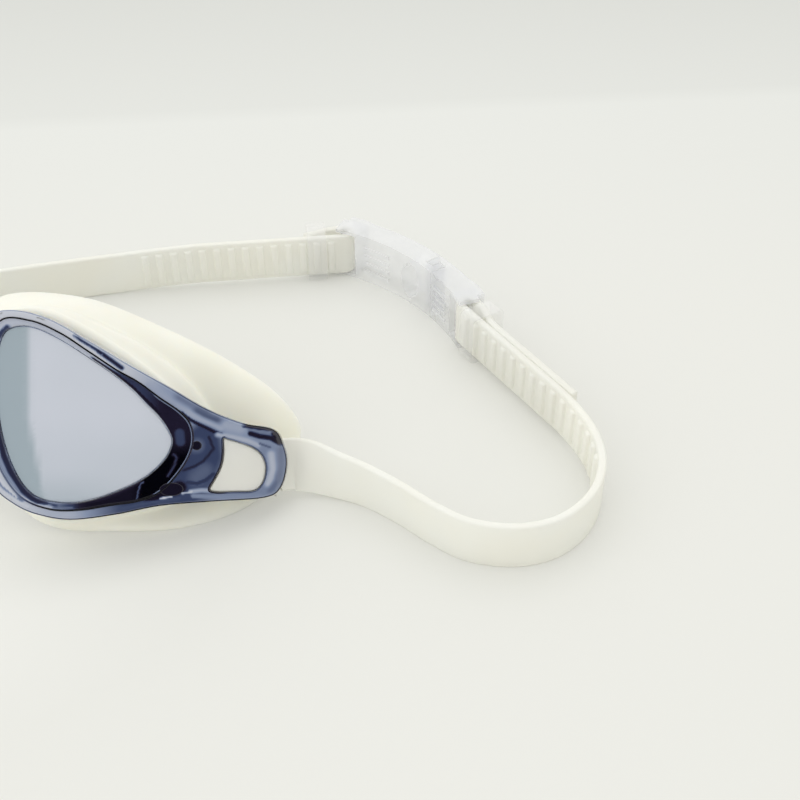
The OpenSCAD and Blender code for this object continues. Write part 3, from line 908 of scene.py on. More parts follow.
# The bezel's tint: painted dark refraction of the lens cup's wall, deepest towards the temple and
# the bottom, with its painted lines
BEZEL_TINT_AND_PAINTED_LIGHT = Tint(
    top=(0.1, (0.56, 37, 44), (0.14, 46, 52)),
    bottom=(0.3, (0.58, 25, 37), (0.1, 44, 47)),
    change=(-12, -6),
    lines=BEZEL_PAINTED_LINES,
)
# Thin dark discs between the bezel and the window, which carry painted dark refractions: name,
# middle and half sizes
PAINTED_DARK_SPOTS = (("stud", (58.3, -8.5), (1.15, 1.15)), ("pool", (52.9, -18.4), (2.6, 1.6)))
PAINTED_SPOT_TONE = 0.87


@dataclass
class Plate:
    """A flat piece with rounded edges, drawn by outlines, from its front's depth to its back's.

    steps are the steps of a rounded edge, pitch the distance between the cuts that let the
    piece bend, and fine the size of the front face's triangles where it carries a fine tint
    with painted lines.
    """

    edge: Outline
    holes: List[Outline]
    front: float
    back: float
    rounding: float
    hole_rounding: float = 0.4
    back_rounding: float = 0.3
    steps: int = 3
    pitch: float = 2.5
    fine: float = 0.0

    def rings(self, outline: Outline, inwards: float, rounding: float) -> List[Outline]:
        """Draws one wall, from the front face over the edge to the back face.

        Args:
            outline: The wall's outline.
            inwards: -1 for the outer edge, 1 for a hole.
            rounding: The radius of the edge.

        Returns:
            The rings, as points across, depth and up.
        """
        turns = [k * math.pi / 2 / self.steps for k in range(self.steps + 1)]
        profile = [
            (rounding * (1 - math.sin(a)), self.front + rounding * (1 - math.cos(a))) for a in turns
        ]
        small = min(rounding, self.back_rounding)
        profile += [
            (small * (1 - math.cos(a)), self.back - small * (1 - math.sin(a))) for a in turns
        ]
        return [
            [Vector((p.x, depth, p.y)) for p in grown(outline, inwards * d)] for d, depth in profile
        ]

    def flat(self) -> Mesh:
        """Builds the piece before it is bent, its faces cut so that they can follow the curve.

        Returns:
            The mesh, as points across, depth and up.
        """
        bm = bmesh.new()
        front, back = loft(bm, self.rings(self.edge, -1, self.rounding))
        for hole in self.holes:
            a, b = loft(bm, self.rings(hole, 1, self.hole_rounding))
            front, back = front + a, back + b
        for edges in (back,) if self.fine else (front, back):
            bmesh.ops.triangle_fill(
                bm, use_beauty=True, use_dissolve=False, edges=edges, normal=(0, -1, 0)
            )
        across, up = [p.x for p in self.edge], [p.y for p in self.edge]
        for way, values in (((1, 0, 0), across), ((0, 0, 1), up)):
            low, high = min(values), max(values)
            count = max(int((high - low) / self.pitch), 1)
            for k in range(1, count):
                bmesh.ops.bisect_plane(
                    bm,
                    geom=bm.verts[:] + bm.edges[:] + bm.faces[:],
                    dist=1e-5,
                    plane_co=Vector(way) * (low + (high - low) * k / count),
                    plane_no=way,
                )
        if self.fine:
            self.fill_front(bm)
        return bm

    def fill_front(self, bm: Mesh) -> None:
        """Fills the open front face with small even triangles, which carry a fine tint and its
        painted lines.

        Args:
            bm: The flat piece.
        """
        rim = [e for e in bm.edges if len(e.link_faces) == 1]
        verts = list({v for e in rim for v in e.verts})
        order = {v: i for i, v in enumerate(verts)}
        low, high = (Vector(f(p[i] for p in self.edge) for i in (0, 1)) for f in (min, max))
        row = self.fine * 0.866
        across, up = np.arange(low.x, high.x, self.fine), np.arange(low.y, high.y, row)
        grid = np.stack(np.meshgrid(across, up), axis=-1)
        grid[1::2, :, 0] += self.fine / 2
        grid = grid.reshape(-1, 2)
        grid = grid[self.covers(grid, 0.5 * self.fine)]
        points = [Vector((v.co.x, v.co.z)) for v in verts] + [Vector(p) for p in grid.tolist()]
        edges = [tuple(order[v] for v in e.verts) for e in rim]
        places, _, faces, sources = delaunay_2d_cdt(points, edges, [], 0, 1e-6)[:4]
        made = []
        for p, source in zip(places, sources):
            old = source and source[0] < len(verts)
            made.append(verts[source[0]] if old else bm.verts.new((p.x, self.front, p.y)))
        middles = np.array([sum((places[i] for i in f), Vector((0, 0))) / 3 for f in faces])
        for face, kept in zip(faces, self.covers(middles, 0.0)):
            if kept:
                bm.faces.new([made[i] for i in face])

    def covers(self, points: np.ndarray, margin: float) -> np.ndarray:
        """Finds which places lie on the front face.

        Args:
            points: The places, a row each.
            margin: How far they have to lie from its rim.

        Returns:
            True or False for each place.
        """
        kept = inside(points, grown(self.edge, -self.rounding - margin))
        for hole in self.holes:
            kept &= ~inside(points, grown(hole, self.hole_rounding + margin))
        return kept


@dataclass
class EyeUnit:
    """One eye's frame, bezel, lens, film, gasket and strap anchor.

    The frame grows shallower between the two distances of rim_blend outside its rim. The
    seal's cheek edge is lowered within the ranges of flare_across, flare_up and flare_back.
    """

    side: Side
    front: Front
    frame: Dict
    finishes: Dict[Slot, Material]
    rim_width: float = 3.0
    rim_depth: float = 4.5
    rim_blend: Point = (0.2, 1.4)
    arm_depth: float = 3.0
    seam_gap: float = 0.03
    fine_pitch: float = 0.33
    lens_recess: float = 0.8
    lens_thickness: float = 1.8
    cup_depth: float = 8.5
    cup_wall: float = 1.6
    cup_gap: float = 0.15
    film_thickness: float = 0.2
    film_gap: float = 0.05
    film_margin: float = 0.25
    head_gap: float = 0.3
    head_thickness: float = 2.0
    head_end: float = 75.0
    plug_recess: float = 0.4
    flare_depth: float = 4.0
    flare_across: Point = (17, 40)
    flare_up: Point = (-20, -4)
    flare_back: Point = (2, 13)

    def __post_init__(self) -> None:
        """Draws the outlines that several pieces share."""
        self.aperture = smooth(APERTURE)
        self.window = smooth(WINDOW, 6)
        self.edge = smooth(FRAME_EDGE, 6)
        self.seam = smooth(SEAM)
        self.pane = smooth(FILM)

    def build(self) -> None:
        """Builds every piece of this side."""
        self.build_frame()
        self.build_lips()
        self.build_studs()
        self.build_lens()
        self.build_gasket()
        self.build_anchor()

    def finish(self, obj: Piece, slot: Slot, *nodes: str) -> None:
        """Lets a piece ride on the front and stand for CAD nodes of this side."""
        dress(obj, slot, "front", *[f"{self.side.word}_{n}" for n in nodes])

    def add(
        self,
        plate: Plate,
        word: str,
        slot: Slot,
        *nodes: str,
        tone: Optional[Tone] = None,
        shape: Optional[Callable[[Vector], Vector]] = None,
    ) -> None:
        """Bends a plate to its place and makes it a piece.

        Args:
            plate: The plate.
            word: The piece's name, without its side.
            slot: Its material's slot.
            nodes: The CAD nodes of this side that it stands for.
            tone: The tint's depth at a place, with its painted light, given as across and up.
            shape: Moves a flat point, given as across, depth and up, before it is bent.
        """
        bm = plate.flat()
        layer = bm.verts.layers.float.new(TONE)
        for v in bm.verts:
            if tone:
                v[layer] = min(max(tone(v.co.x, v.co.z), 0.0), 1.0)
            p = shape(v.co) if shape else v.co
            v.co = self.front.place(self.side, p.x, p.y, p.z)
        name = f"{self.side.word}_{word}_piece"
        self.finish(make_piece(bm, name, self.finishes[slot], weighted=True), slot, *nodes)

    def build_frame(self) -> None:
        """Builds the frame with its temple arm, and the bezel round the lens."""
        holes = [grown(self.seam, self.seam_gap), self.window]
        plate = Plate(self.edge, holes, 0.0, self.arm_depth, 0.6, 0.3, fine=self.fine_pitch)
        # The frame's and the bezel's tones paint refractions, reflections and highlights over their
        # smoke tint
        self.add(plate, "frame", Slot.FRAME, "frame", tone=FRAME_TINT_AND_PAINTED_LIGHT.at, shape=self.rim_back)
        outer = grown(self.seam, -self.seam_gap)
        bezel = Plate(outer, [self.pane], 0.1, self.rim_depth, 0.3, 0.4, fine=self.fine_pitch)
        self.add(bezel, "bezel", Slot.FRAME, tone=BEZEL_TINT_AND_PAINTED_LIGHT.at)

    def rim_back(self, p: Vector) -> Vector:
        """Deepens the frame round the lens, where it meets the gasket.

        Args:
            p: A point of the flat frame, as across, depth and up.

        Returns:
            The moved point.
        """
        gap = min((Vector((p.x, p.z)) - q).length for q in self.aperture)
        low, high = self.rim_blend
        deep = 1 - softstep(self.rim_width + low, self.rim_width + high, gap)
        share = softstep(self.arm_depth / 2, self.arm_depth - 0.4, p.y)
        return Vector((p.x, p.y + share * deep * (self.rim_depth - self.arm_depth), p.z))

    def build_lips(self) -> None:
        """Builds the narrow moulded lips along the rim, the seam and the window, which carry
        painted dark refraction lines and a painted highlight beside the seam.

        Each has its line, how far its two edges lie outside the line, the inner one first,
        the depths of its front and back, and its tint.
        """
        for word, line, reach, depth, tone in (
            ("edge_lip", self.edge, (-0.35, 0.0), (0.12, 1.2), self.edge_tone),
            ("seam_lip", self.seam, (-0.14, 0.2), (-0.12, 1.0), self.seam_tone),
            ("seam_light", self.seam, (-0.42, -0.14), (-0.02, 0.8), self.seam_light_tone),
            ("window_lip", self.window, (-0.05, 0.3), (-0.05, 1.4), self.window_tone),
        ):
            inner, outer = (grown(line, distance) for distance in reach)
            lip = Plate(outer, [inner], *depth, 0.1, 0.1, pitch=4.0)
            self.add(lip, word, Slot.FRAME, tone=tone)

    @staticmethod
    def edge_tone(across: float, up: float) -> float:
        """The frame's tint on its rim under a painted dark refraction line, darkest along its lower
        side.
        """
        return FRAME_TINT_AND_PAINTED_LIGHT.at(across, up) + 0.2 + 0.3 * (1 - softstep(-16, -8, up))

    @staticmethod
    def seam_tone(across: float, up: float) -> float:
        """The painted dark refraction line in the seam, softer at the temple and low at the nose.
        """
        nose = 0.5 * (1 - softstep(20, 28, across)) * (1 - softstep(-12, -4, up))
        return 0.97 - nose - 0.2 * softstep(54, 56, across) * (1 - softstep(-5, -2, up))

    @staticmethod
    def seam_light_tone(across: float, up: float) -> float:
        """The painted highlight on the line beside the seam, pale round the temple."""
        share = softstep(48.5, 49.5, across)
        return BEZEL_TINT_AND_PAINTED_LIGHT.at(across, up) * (1 - share) + 0.42 * share

    @staticmethod
    def window_tone(across: float, up: float) -> float:
        """The painted dark refraction line round the arm's window, deepest beside the temple."""
        return 0.54 + 0.26 * (1 - softstep(63.5, 65, across)) - 0.12 * softstep(-9.5, -8, up)

    def build_studs(self) -> None:
        """Builds the two thin dark discs between the bezel and the window, which carry painted dark
        refractions.
        """
        turns = [2 * math.pi * k / 32 for k in range(32)]
        for word, (x, y), (half, high) in PAINTED_DARK_SPOTS:
            ring = [Vector((x + half * math.cos(a), y + high * math.sin(a))) for a in turns]
            stud = Plate(ring, [], -0.08, 0.8, 0.25, pitch=3.0)
            self.add(stud, word, Slot.FRAME, tone=self.stud_tone)

    @staticmethod
    def stud_tone(across: float, up: float) -> float:
        """The even painted dark refraction of a disc."""
        return PAINTED_SPOT_TONE

    @staticmethod
    def film_tone(across: float, up: float) -> float:
        """Works out the film's painted darkening: a reflection towards the nose, and darker towards
        the lower edge.

        Args:
            across: The place's distance across.
            up: Its height.

        Returns:
            The share of the painted dark colour.
        """
        edge = 22.7 + 0.2 * max(0.0, -2 - up)
        nose = 1 - softstep(-1.0, 1.0, across - edge)
        corner = 0.4 * (1 - softstep(-21, -12, up)) * (1 - softstep(30, 48, across))
        return max(nose, 0.2 * (1 - softstep(-13, 2, up)) + corner)

    def build_lens(self) -> None:
        """Builds the lens pane, the wall of its cup and the film on it."""
        recess, top = self.lens_recess, self.lens_recess - self.film_gap
        pane = Plate(grown(self.pane, -0.04), [], recess, recess + self.lens_thickness, 0.15)
        self.add(pane, "lens", Slot.LENS, "lens")
        outer = grown(self.aperture, -self.cup_gap)
        inner = grown(self.aperture, -self.cup_gap - self.cup_wall)
        wall = Plate(outer, [inner], self.rim_depth + 0.05, self.cup_depth, 0.3, 0.3)
        self.add(wall, "cup_wall", Slot.LENS)
        sheet, face = grown(self.pane, -self.film_margin), top - self.film_thickness
        film = Plate(sheet, [], face, top, 0.08, steps=2, pitch=1.2)
        # The film's tone paints a dark reflection towards the nose and darkening towards its lower
        # edge
        self.add(film, "film", Slot.FILM, "film", tone=self.film_tone)

    def build_gasket(self) -> None:
        """Builds the soft seal, made smooth from the CAD solid's rows."""
        bm = cad_mesh(self.frame, f"{self.side.word}_gasket")
        for v in bm.verts:
            v.co += self.flare(v.co)
        face, corner = math.radians(60), math.radians(120)
        bmesh.ops.join_triangles(
            bm, faces=bm.faces, angle_face_threshold=face, angle_shape_threshold=corner
        )
        name = f"{self.side.word}_gasket_piece"
        obj = make_piece(bm, name, self.finishes[Slot.GASKET], 180.0)
        even = obj.modifiers.new("Smooth", "SUBSURF")
        even.levels = even.render_levels = 2
        self.finish(obj, Slot.GASKET, "gasket")

    def flare(self, p: Vector) -> Vector:
        """Finds how much lower the seal's cheek edge lies near the nose than in the solid.

        Args:
            p: A point of the solid, in metres.

        Returns:
            The move, in metres.
        """
        across, up, back = self.front.on_face(self.side, p)
        share = (1 - softstep(*self.flare_across, across)) * (1 - softstep(*self.flare_up, up))
        share *= softstep(*self.flare_back, back)
        face = Vector((0.0, math.sin(self.front.tilt), math.cos(self.front.tilt)))
        return face * (-self.flare_depth * share * MM)

    def build_anchor(self) -> None:
        """Builds the strap's head behind the arm, and the plug that fills the arm's window."""
        depth = self.arm_depth + self.head_gap
        head = Plate(smooth(HEAD, 6), [], depth, depth + self.head_thickness, 0.4)
        self.add(head, "strap_head", Slot.STRAP, "strap_anchor", shape=self.trim)
        plug = Plate(grown(self.window, -0.15), [], self.plug_recess, depth + 0.5, 0.35)
        self.add(plug, "window_plug", Slot.STRAP)

    def trim(self, p: Vector) -> Vector:
        """Ends the strap's head where the band starts."""
        return Vector((min(p.x, self.head_end), p.y, p.z))


@dataclass
class NoseBridge:
    """The short strip that joins the two frames, with a peg in each lug."""

    frame: Dict
    finishes: Dict[Slot, Material]
    rounding: float = 0.45

    def build(self) -> None:
        """Builds the strip from the CAD solid with its edges rounded."""
        material = self.finishes[Slot.BRIDGE]
        obj = rounded_copy(self.frame, "nose_bridge", material, self.rounding)
        dress(obj, Slot.BRIDGE, "front", "nose_bridge")


# ---- the strap


@dataclass
class Band:
    """One side's band: its path from the temple to the clasp, round the bar and back.

    points are the middle of the band on its way, as x, y, z and its lean in degrees. The
    straight run beside the clasp is run_length long, and turn_side says which way it folds.
    """

    front: Front
    points: List[Tuple[float, float, float, float]]
    bar: Point
    run_angle: float
    turn_side: int
    tail: float
    ribs: int
    run_length: float = 44.0
    thickness: float = 2.0
    width: float = 13.0
    bar_diameter: float = 2.4
    bar_gap: float = 0.1
    band_z: float = 7.9
    rib_pitch: float = 4.25
    rib_start: float = 2.0
    rib_height: float = 0.8
    rib_width: float = 1.8
    rib_inset: float = 1.25
    corner: float = 0.55
    tail_gap: float = 0.1
    tail_bend: float = 3.0
    tail_close: float = 9.0
    run_steps: int = 10
    fold_steps: int = 16
    tail_steps: int = 12

    def __post_init__(self) -> None:
        """Works out the path and the distances along it."""
        a = math.radians(self.run_angle)
        self.way = Vector((math.cos(a), math.sin(a)))
        left = Vector((-self.way.y, self.way.x)) * self.turn_side
        bar = Vector(self.bar)
        radius = self.bar_diameter / 2 + self.bar_gap + self.thickness / 2
        start = bar - left * radius
        guides = [self.along(start, self.run_length), self.along(start, self.run_length / 2)]
        path = smooth([*self.points, *guides], self.run_steps, closed=False)
        for k in range(self.run_steps):
            path.append(self.along(start, self.run_length * (1 - k / self.run_steps)))
        for k in range(self.fold_steps + 1):
            t = math.pi * k / self.fold_steps
            spot = bar - left * radius * math.cos(t)
            path.append(self.along(spot, -radius * math.sin(t)))
        for k in range(1, self.tail_steps + 1):
            d = self.tail * (k / self.tail_steps) ** 1.4
            closed = softstep(self.tail_bend, self.tail_bend + self.tail_close, d)
            across = 2 * radius + closed * (self.thickness + self.tail_gap - 2 * radius)
            path.append(self.along(start + left * across, d))
        self.path = path
        self.at = [0.0]
        for p, q in zip(path, path[1:]):
            self.at.append(self.at[-1] + (q.xy - p.xy).length)
        self.length = self.at[-1]
        self.fold_end = self.at[-1 - self.tail_steps]
        self.fold_start = self.at[-1 - self.tail_steps - self.fold_steps]
        self.exit = self.at[self.run_steps]

    def along(self, origin: Vector, distance: float) -> Vector:
        """A point of the path at a distance from a place along the run."""
        return Vector((*(origin + self.way * distance), self.band_z, 0.0))

    def station(self, s: float) -> Tuple[Vector, Vector, float]:
        """Finds the band's place at a distance along it.

        Args:
            s: The distance.

        Returns:
            The band's middle, its outward way and its lean.
        """
        last = len(self.at) - 1
        i = min(max(next((k for k, d in enumerate(self.at) if d > s), last) - 1, 0), last - 1)
        t = (s - self.at[i]) / (self.at[i + 1] - self.at[i])
        ways = []
        for k in (i, i + 1):
            a, b = self.path[max(k - 1, 0)], self.path[min(k + 1, last)]
            ways.append((b.xy - a.xy).normalized())
        way = ways[0].lerp(ways[1], t).normalized()
        p = self.path[i].lerp(self.path[i + 1], t)
        return p.xyz, Vector((way.y, -way.x)) * self.turn_side, math.radians(p.w)

    def rib_places(self) -> List[float]:
        """Finds the ribs' middles along the band, on both layers.

        Returns:
            Their distances, in order.
        """
        first = self.rib_start + self.rib_pitch / 2
        run = [self.fold_start - first - k * self.rib_pitch for k in range(self.ribs)]
        count = int((self.tail - self.rib_start - 1) / self.rib_pitch)
        tail = [self.fold_end + first + k * self.rib_pitch for k in range(count)]
        return sorted(run + tail)

    def section(self, rise: float, end: float) -> List[Point]:
        """Draws one cross-section.

        Args:
            rise: The rib's height here.
            end: How far the section is drawn in at a rounded end.

        Returns:
            The section's points, once round, as outwards and up.
        """
        t, w, c = self.thickness / 2 - end, self.width / 2 - end, self.corner
        pts = []
        for sx, sy in ((1, -1), (1, 1), (-1, 1), (-1, -1)):
            arc = []
            for k in range(4):
                a = math.pi / 2 * k / 3
                arc.append((sx * (t - c + c * math.cos(a)), sy * (w - c + c * math.sin(a))))
            pts += arc if sx * sy > 0 else arc[::-1]
            if (sx, sy) == (-1, 1):
                top = w - self.rib_inset
                slope = ((0, 0.0), (0.18, 0.5), (0.42, 0.85), (0.75, 1.0), (top, 1.0))
                pts += [(-t - k * rise, top - d) for d, k in slope]
                pts += [(-t - k * rise, d - top) for d, k in slope[-2::-1]]
        return pts

    def rises(self, start: float, end: float, cap: float) -> List[Tuple[float, float, float]]:
        """Places the sections of a stretch.

        Args:
            start: Where the stretch starts.
            end: Where it ends.
            cap: The rounding of the band's free end, or 0 where another piece carries on.

        Returns:
            The sections in order, as distance, rib height and draw at the ends.
        """
        half = self.rib_width / 2
        foot, flat = half + 0.3, half - 0.35
        slope = ((foot, 0.0), (half + 0.12, 0.4), (half - 0.08, 0.8), (flat, 1.0), (0.0, 1.0))
        ribs = [r for r in self.rib_places() if start + foot < r < end - foot - cap]
        marks = {start: (0.0, 0.0), end: (0.0, cap)}
        for r in ribs:
            for d, k in slope:
                marks[r - d] = marks[r + d] = (k * self.rib_height, 0.0)
        for s in self.at:
            if start + 0.3 < s < end - 0.3 - cap and all(abs(s - r) > half + 0.5 for r in ribs):
                marks[s] = (0.0, 0.0)
        if cap:
            for k in (0.0, 0.35, 0.7):
                marks[end - cap * (1 - k)] = (0.0, cap * (1 - math.sqrt(1 - k * k)))
        return [(s, *marks[s]) for s in sorted(marks)]

    def stretch(self, start: float, end: float, cap: float = 0.0) -> Mesh:
        """Builds a stretch of band.

        Args:
            start: Where it starts, along the path.
            end: Where it ends.
            cap: The rounding of a free end.

        Returns:
            The mesh, in metres in the row frame.
        """
        rings = []
        for s, rise, draw in self.rises(start, end, cap):
            middle, way, lean = self.station(s)
            cos, sin = math.cos(lean), math.sin(lean)
            rings.append([
                middle + Vector((*(way * (out * cos - up * sin)), out * sin + up * cos))
                for out, up in self.section(rise, draw)
            ])
        bm = bmesh.new()
        for edges in loft(bm, rings):
            bmesh.ops.edgeloop_fill(bm, edges=edges)
        for v in bm.verts:
            v.co = self.front.table(*v.co)
        return bm


@dataclass
class StrapSet:
    """The two bands, in four stretches, of which only the last rides on a body, the strap loop."""

    front: Front
    material: Material
    exit_point: Tuple[float, float, float, float] = (79.2, HINGE_Y, 6.96834, 36.0)
    near_bar: Point = (123.971, 25.4484)
    far_bar: Point = (87.9033, 62.0211)
    left_join: float = 98.0
    right_join: float = 34.0
    cap: float = 0.42

    def build(self) -> None:
        """Builds the four stretches."""
        x, *rest = self.exit_point
        left = Band(
            self.front,
            [
                (70, -36.8, 10.5, 40), (74.6, -34.7, 8.7, 40), (x, *rest), (84, -33.7, 7.1, 23),
                (90, -36.1, 6.7, 9), (97, -39.5, 6.5, 2), (105, -45.3, 6.5, 0),
                (112.8, -52, 6.5, 0), (121, -57.2, 6.5, 0), (131.8, -58.8, 6.5, 0),
                (141.8, -55.6, 6.5, 0), (149.4, -47.8, 6.6, 0), (153, -37.5, 6.9, 0),
                (151.8, -26, 7.4, 0),
            ],
            self.near_bar, -57.5, 1, tail=47.0, ribs=16,
        )
        right = Band(
            self.front,
            [
                (-70, -36.8, 10.5, 40), (-74.6, -34.7, 8.7, 40), (-x, *rest),
                (-85, -32.6, 7.1, 24), (-92.5, -30, 6.7, 9), (-99, -22, 6.5, 0),
                (-99.5, -11, 6.5, 0), (-92, 2.5, 6.5, 0), (-77, 14, 6.5, 0), (-56, 25.2, 6.5, 0),
                (-34, 34.8, 6.5, 0), (-11.2, 42.8, 6.6, 0), (16.6, 49.6, 6.9, 0),
            ],
            self.far_bar, 187.0, -1, tail=12.0, ribs=14,
        )
        left_joint, right_joint = left.exit + self.left_join, right.exit + self.right_join
        temple, back = ("front", "strap_loop"), ("strap_loop", "hook_side")
        # Mesh, name, node, bodies and two places between the bodies, which are worked out but not
        # used; a stretch with such places stays where it is built
        for bm, word, node, bodies, ends in (
            (left.stretch(0, left_joint), "left_strap", "left_strap", temple,
             ((79.2, -32.6, 7), (112, -51, 6.5))),
            (left.stretch(left_joint, left.length, self.cap), "left_strap_end", "left_strap_end",
             back, ((152, -30, 7), (137, 0, 7.5))),
            (right.stretch(0, right_joint), "right_strap_start", None, temple,
             ((-79.2, -32.6, 7), (-99.5, -11, 6.5))),
            (right.stretch(right_joint, right.length, self.cap), "right_strap", "right_strap",
             ("strap_loop",), ()),
        ):
            obj = make_piece(bm, f"{word}_piece", self.material)
            if ends:
                start, end = (self.front.table(*p) for p in ends)
                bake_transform(obj)
            else:
                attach(obj, *bodies)
            if node:
                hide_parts(node)


@dataclass
class Clasp:
    """The two clear halves at the back of the head, and the keepers on the strap.

    The clasp curves round its middle, with the curve as radius. bars are the bearings of its
    two crossbars and window_at the bearing of its window, in degrees. The solid's window wall
    lies within wall_across and up to wall_up above and below the window's middle.
    """

    front: Front
    frame: Dict
    finishes: Dict[Slot, Material]
    rounding: float = 0.28
    keeper_rounding: float = 0.25
    middle: Point = (59.8, 1.2)
    curve: float = 68.6
    outer: float = 4.0
    roof: float = 5.0
    roof_rise: float = 0.9
    roof_length: float = 6.85
    roof_slope: float = 3.6
    bars: Point = (20.7, 65.2)
    end_share: float = 0.6
    window_at: float = 43.32
    window_mid: float = 7.9
    window_half: Point = (3.6, 6.0)
    window_shift: float = -0.9
    wall_across: Point = (-4.6, 5.6)
    wall_up: float = 5.03

    def build(self) -> None:
        """Builds the halves and the keepers."""
        clear, loop = self.finishes[Slot.CLASP], self.finishes[Slot.KEEPER]
        for node, body in (("clasp_eye", "strap_loop"), ("clasp_hook", "hook_side")):
            half = rounded_copy(self.frame, node, clear, self.rounding, self.ease)
            dress(half, Slot.CLASP, body, node)
        for node in ("left_keeper", "right_keeper"):
            keeper = rounded_copy(self.frame, node, loop, self.keeper_rounding)
            dress(keeper, Slot.KEEPER, f"{node}_loop", node)

    def ease(self, bm: Mesh) -> None:
        """Draws the roofs and ends into one smooth outer line, and the window to an oval.

        Args:
            bm: The mesh of one half.
        """
        self.open_window(bm)
        origin = self.front.table(*self.middle, 0.0)
        low, high = self.bars
        first, last = low + self.roof_length, high - self.roof_length
        for v in bm.verts:
            way = (v.co - origin).xy / MM
            turn, out = math.degrees(math.atan2(way.y, way.x)), way.length - self.curve
            rise = 1 - softstep(first - self.roof_slope, first, turn)
            rise += softstep(last, last + self.roof_slope, turn)
            if out > self.roof:
                out = self.outer + self.roof_rise * rise
            turn = low - (low - turn) * self.end_share if turn < low else turn
            turn = high + (turn - high) * self.end_share if turn > high else turn
            a = math.radians(turn)
            spot = Vector((math.cos(a), math.sin(a))) * (self.curve + out) * MM
            v.co.x, v.co.y = origin.x + spot.x, origin.y + spot.y

    def open_window(self, bm: Mesh) -> None:
        """Makes the window in one half an upright oval.

        Args:
            bm: The mesh of the half.
        """
        origin = self.front.table(*self.middle, self.window_mid)
        turn = Matrix.Rotation(-math.radians(self.window_at), 3, "Z")
        seen = {v: turn @ (v.co - origin) / MM for v in bm.verts}
        rim = {v for v, p in seen.items() if self.in_window(p)}
        upright = [
            e for e in bm.edges
            if set(e.verts) <= rim
            and abs((seen[e.verts[0]] - seen[e.verts[1]]).x) < 0.5
            and e.calc_length() > 1.6 * MM
        ]
        bmesh.ops.subdivide_edges(bm, edges=upright, cuts=3)
        for v in bm.verts:
            p = turn @ (v.co - origin) / MM
            if self.in_window(p):
                angle, radius = math.atan2(p.z, p.y - 0.5), p.xy.length
                p.y = self.window_shift + self.window_half[0] * math.cos(angle)
                p.z = self.window_half[1] * math.sin(angle)
                p.x = math.sqrt(radius**2 - p.y**2)
                v.co = origin + turn.transposed() @ p * MM

    def in_window(self, p: Vector) -> bool:
        """Whether a point, seen from the window's middle, lies on its wall."""
        low, high = self.wall_across
        return low < p.y < high and abs(p.z) < self.wall_up


# ---- the studio


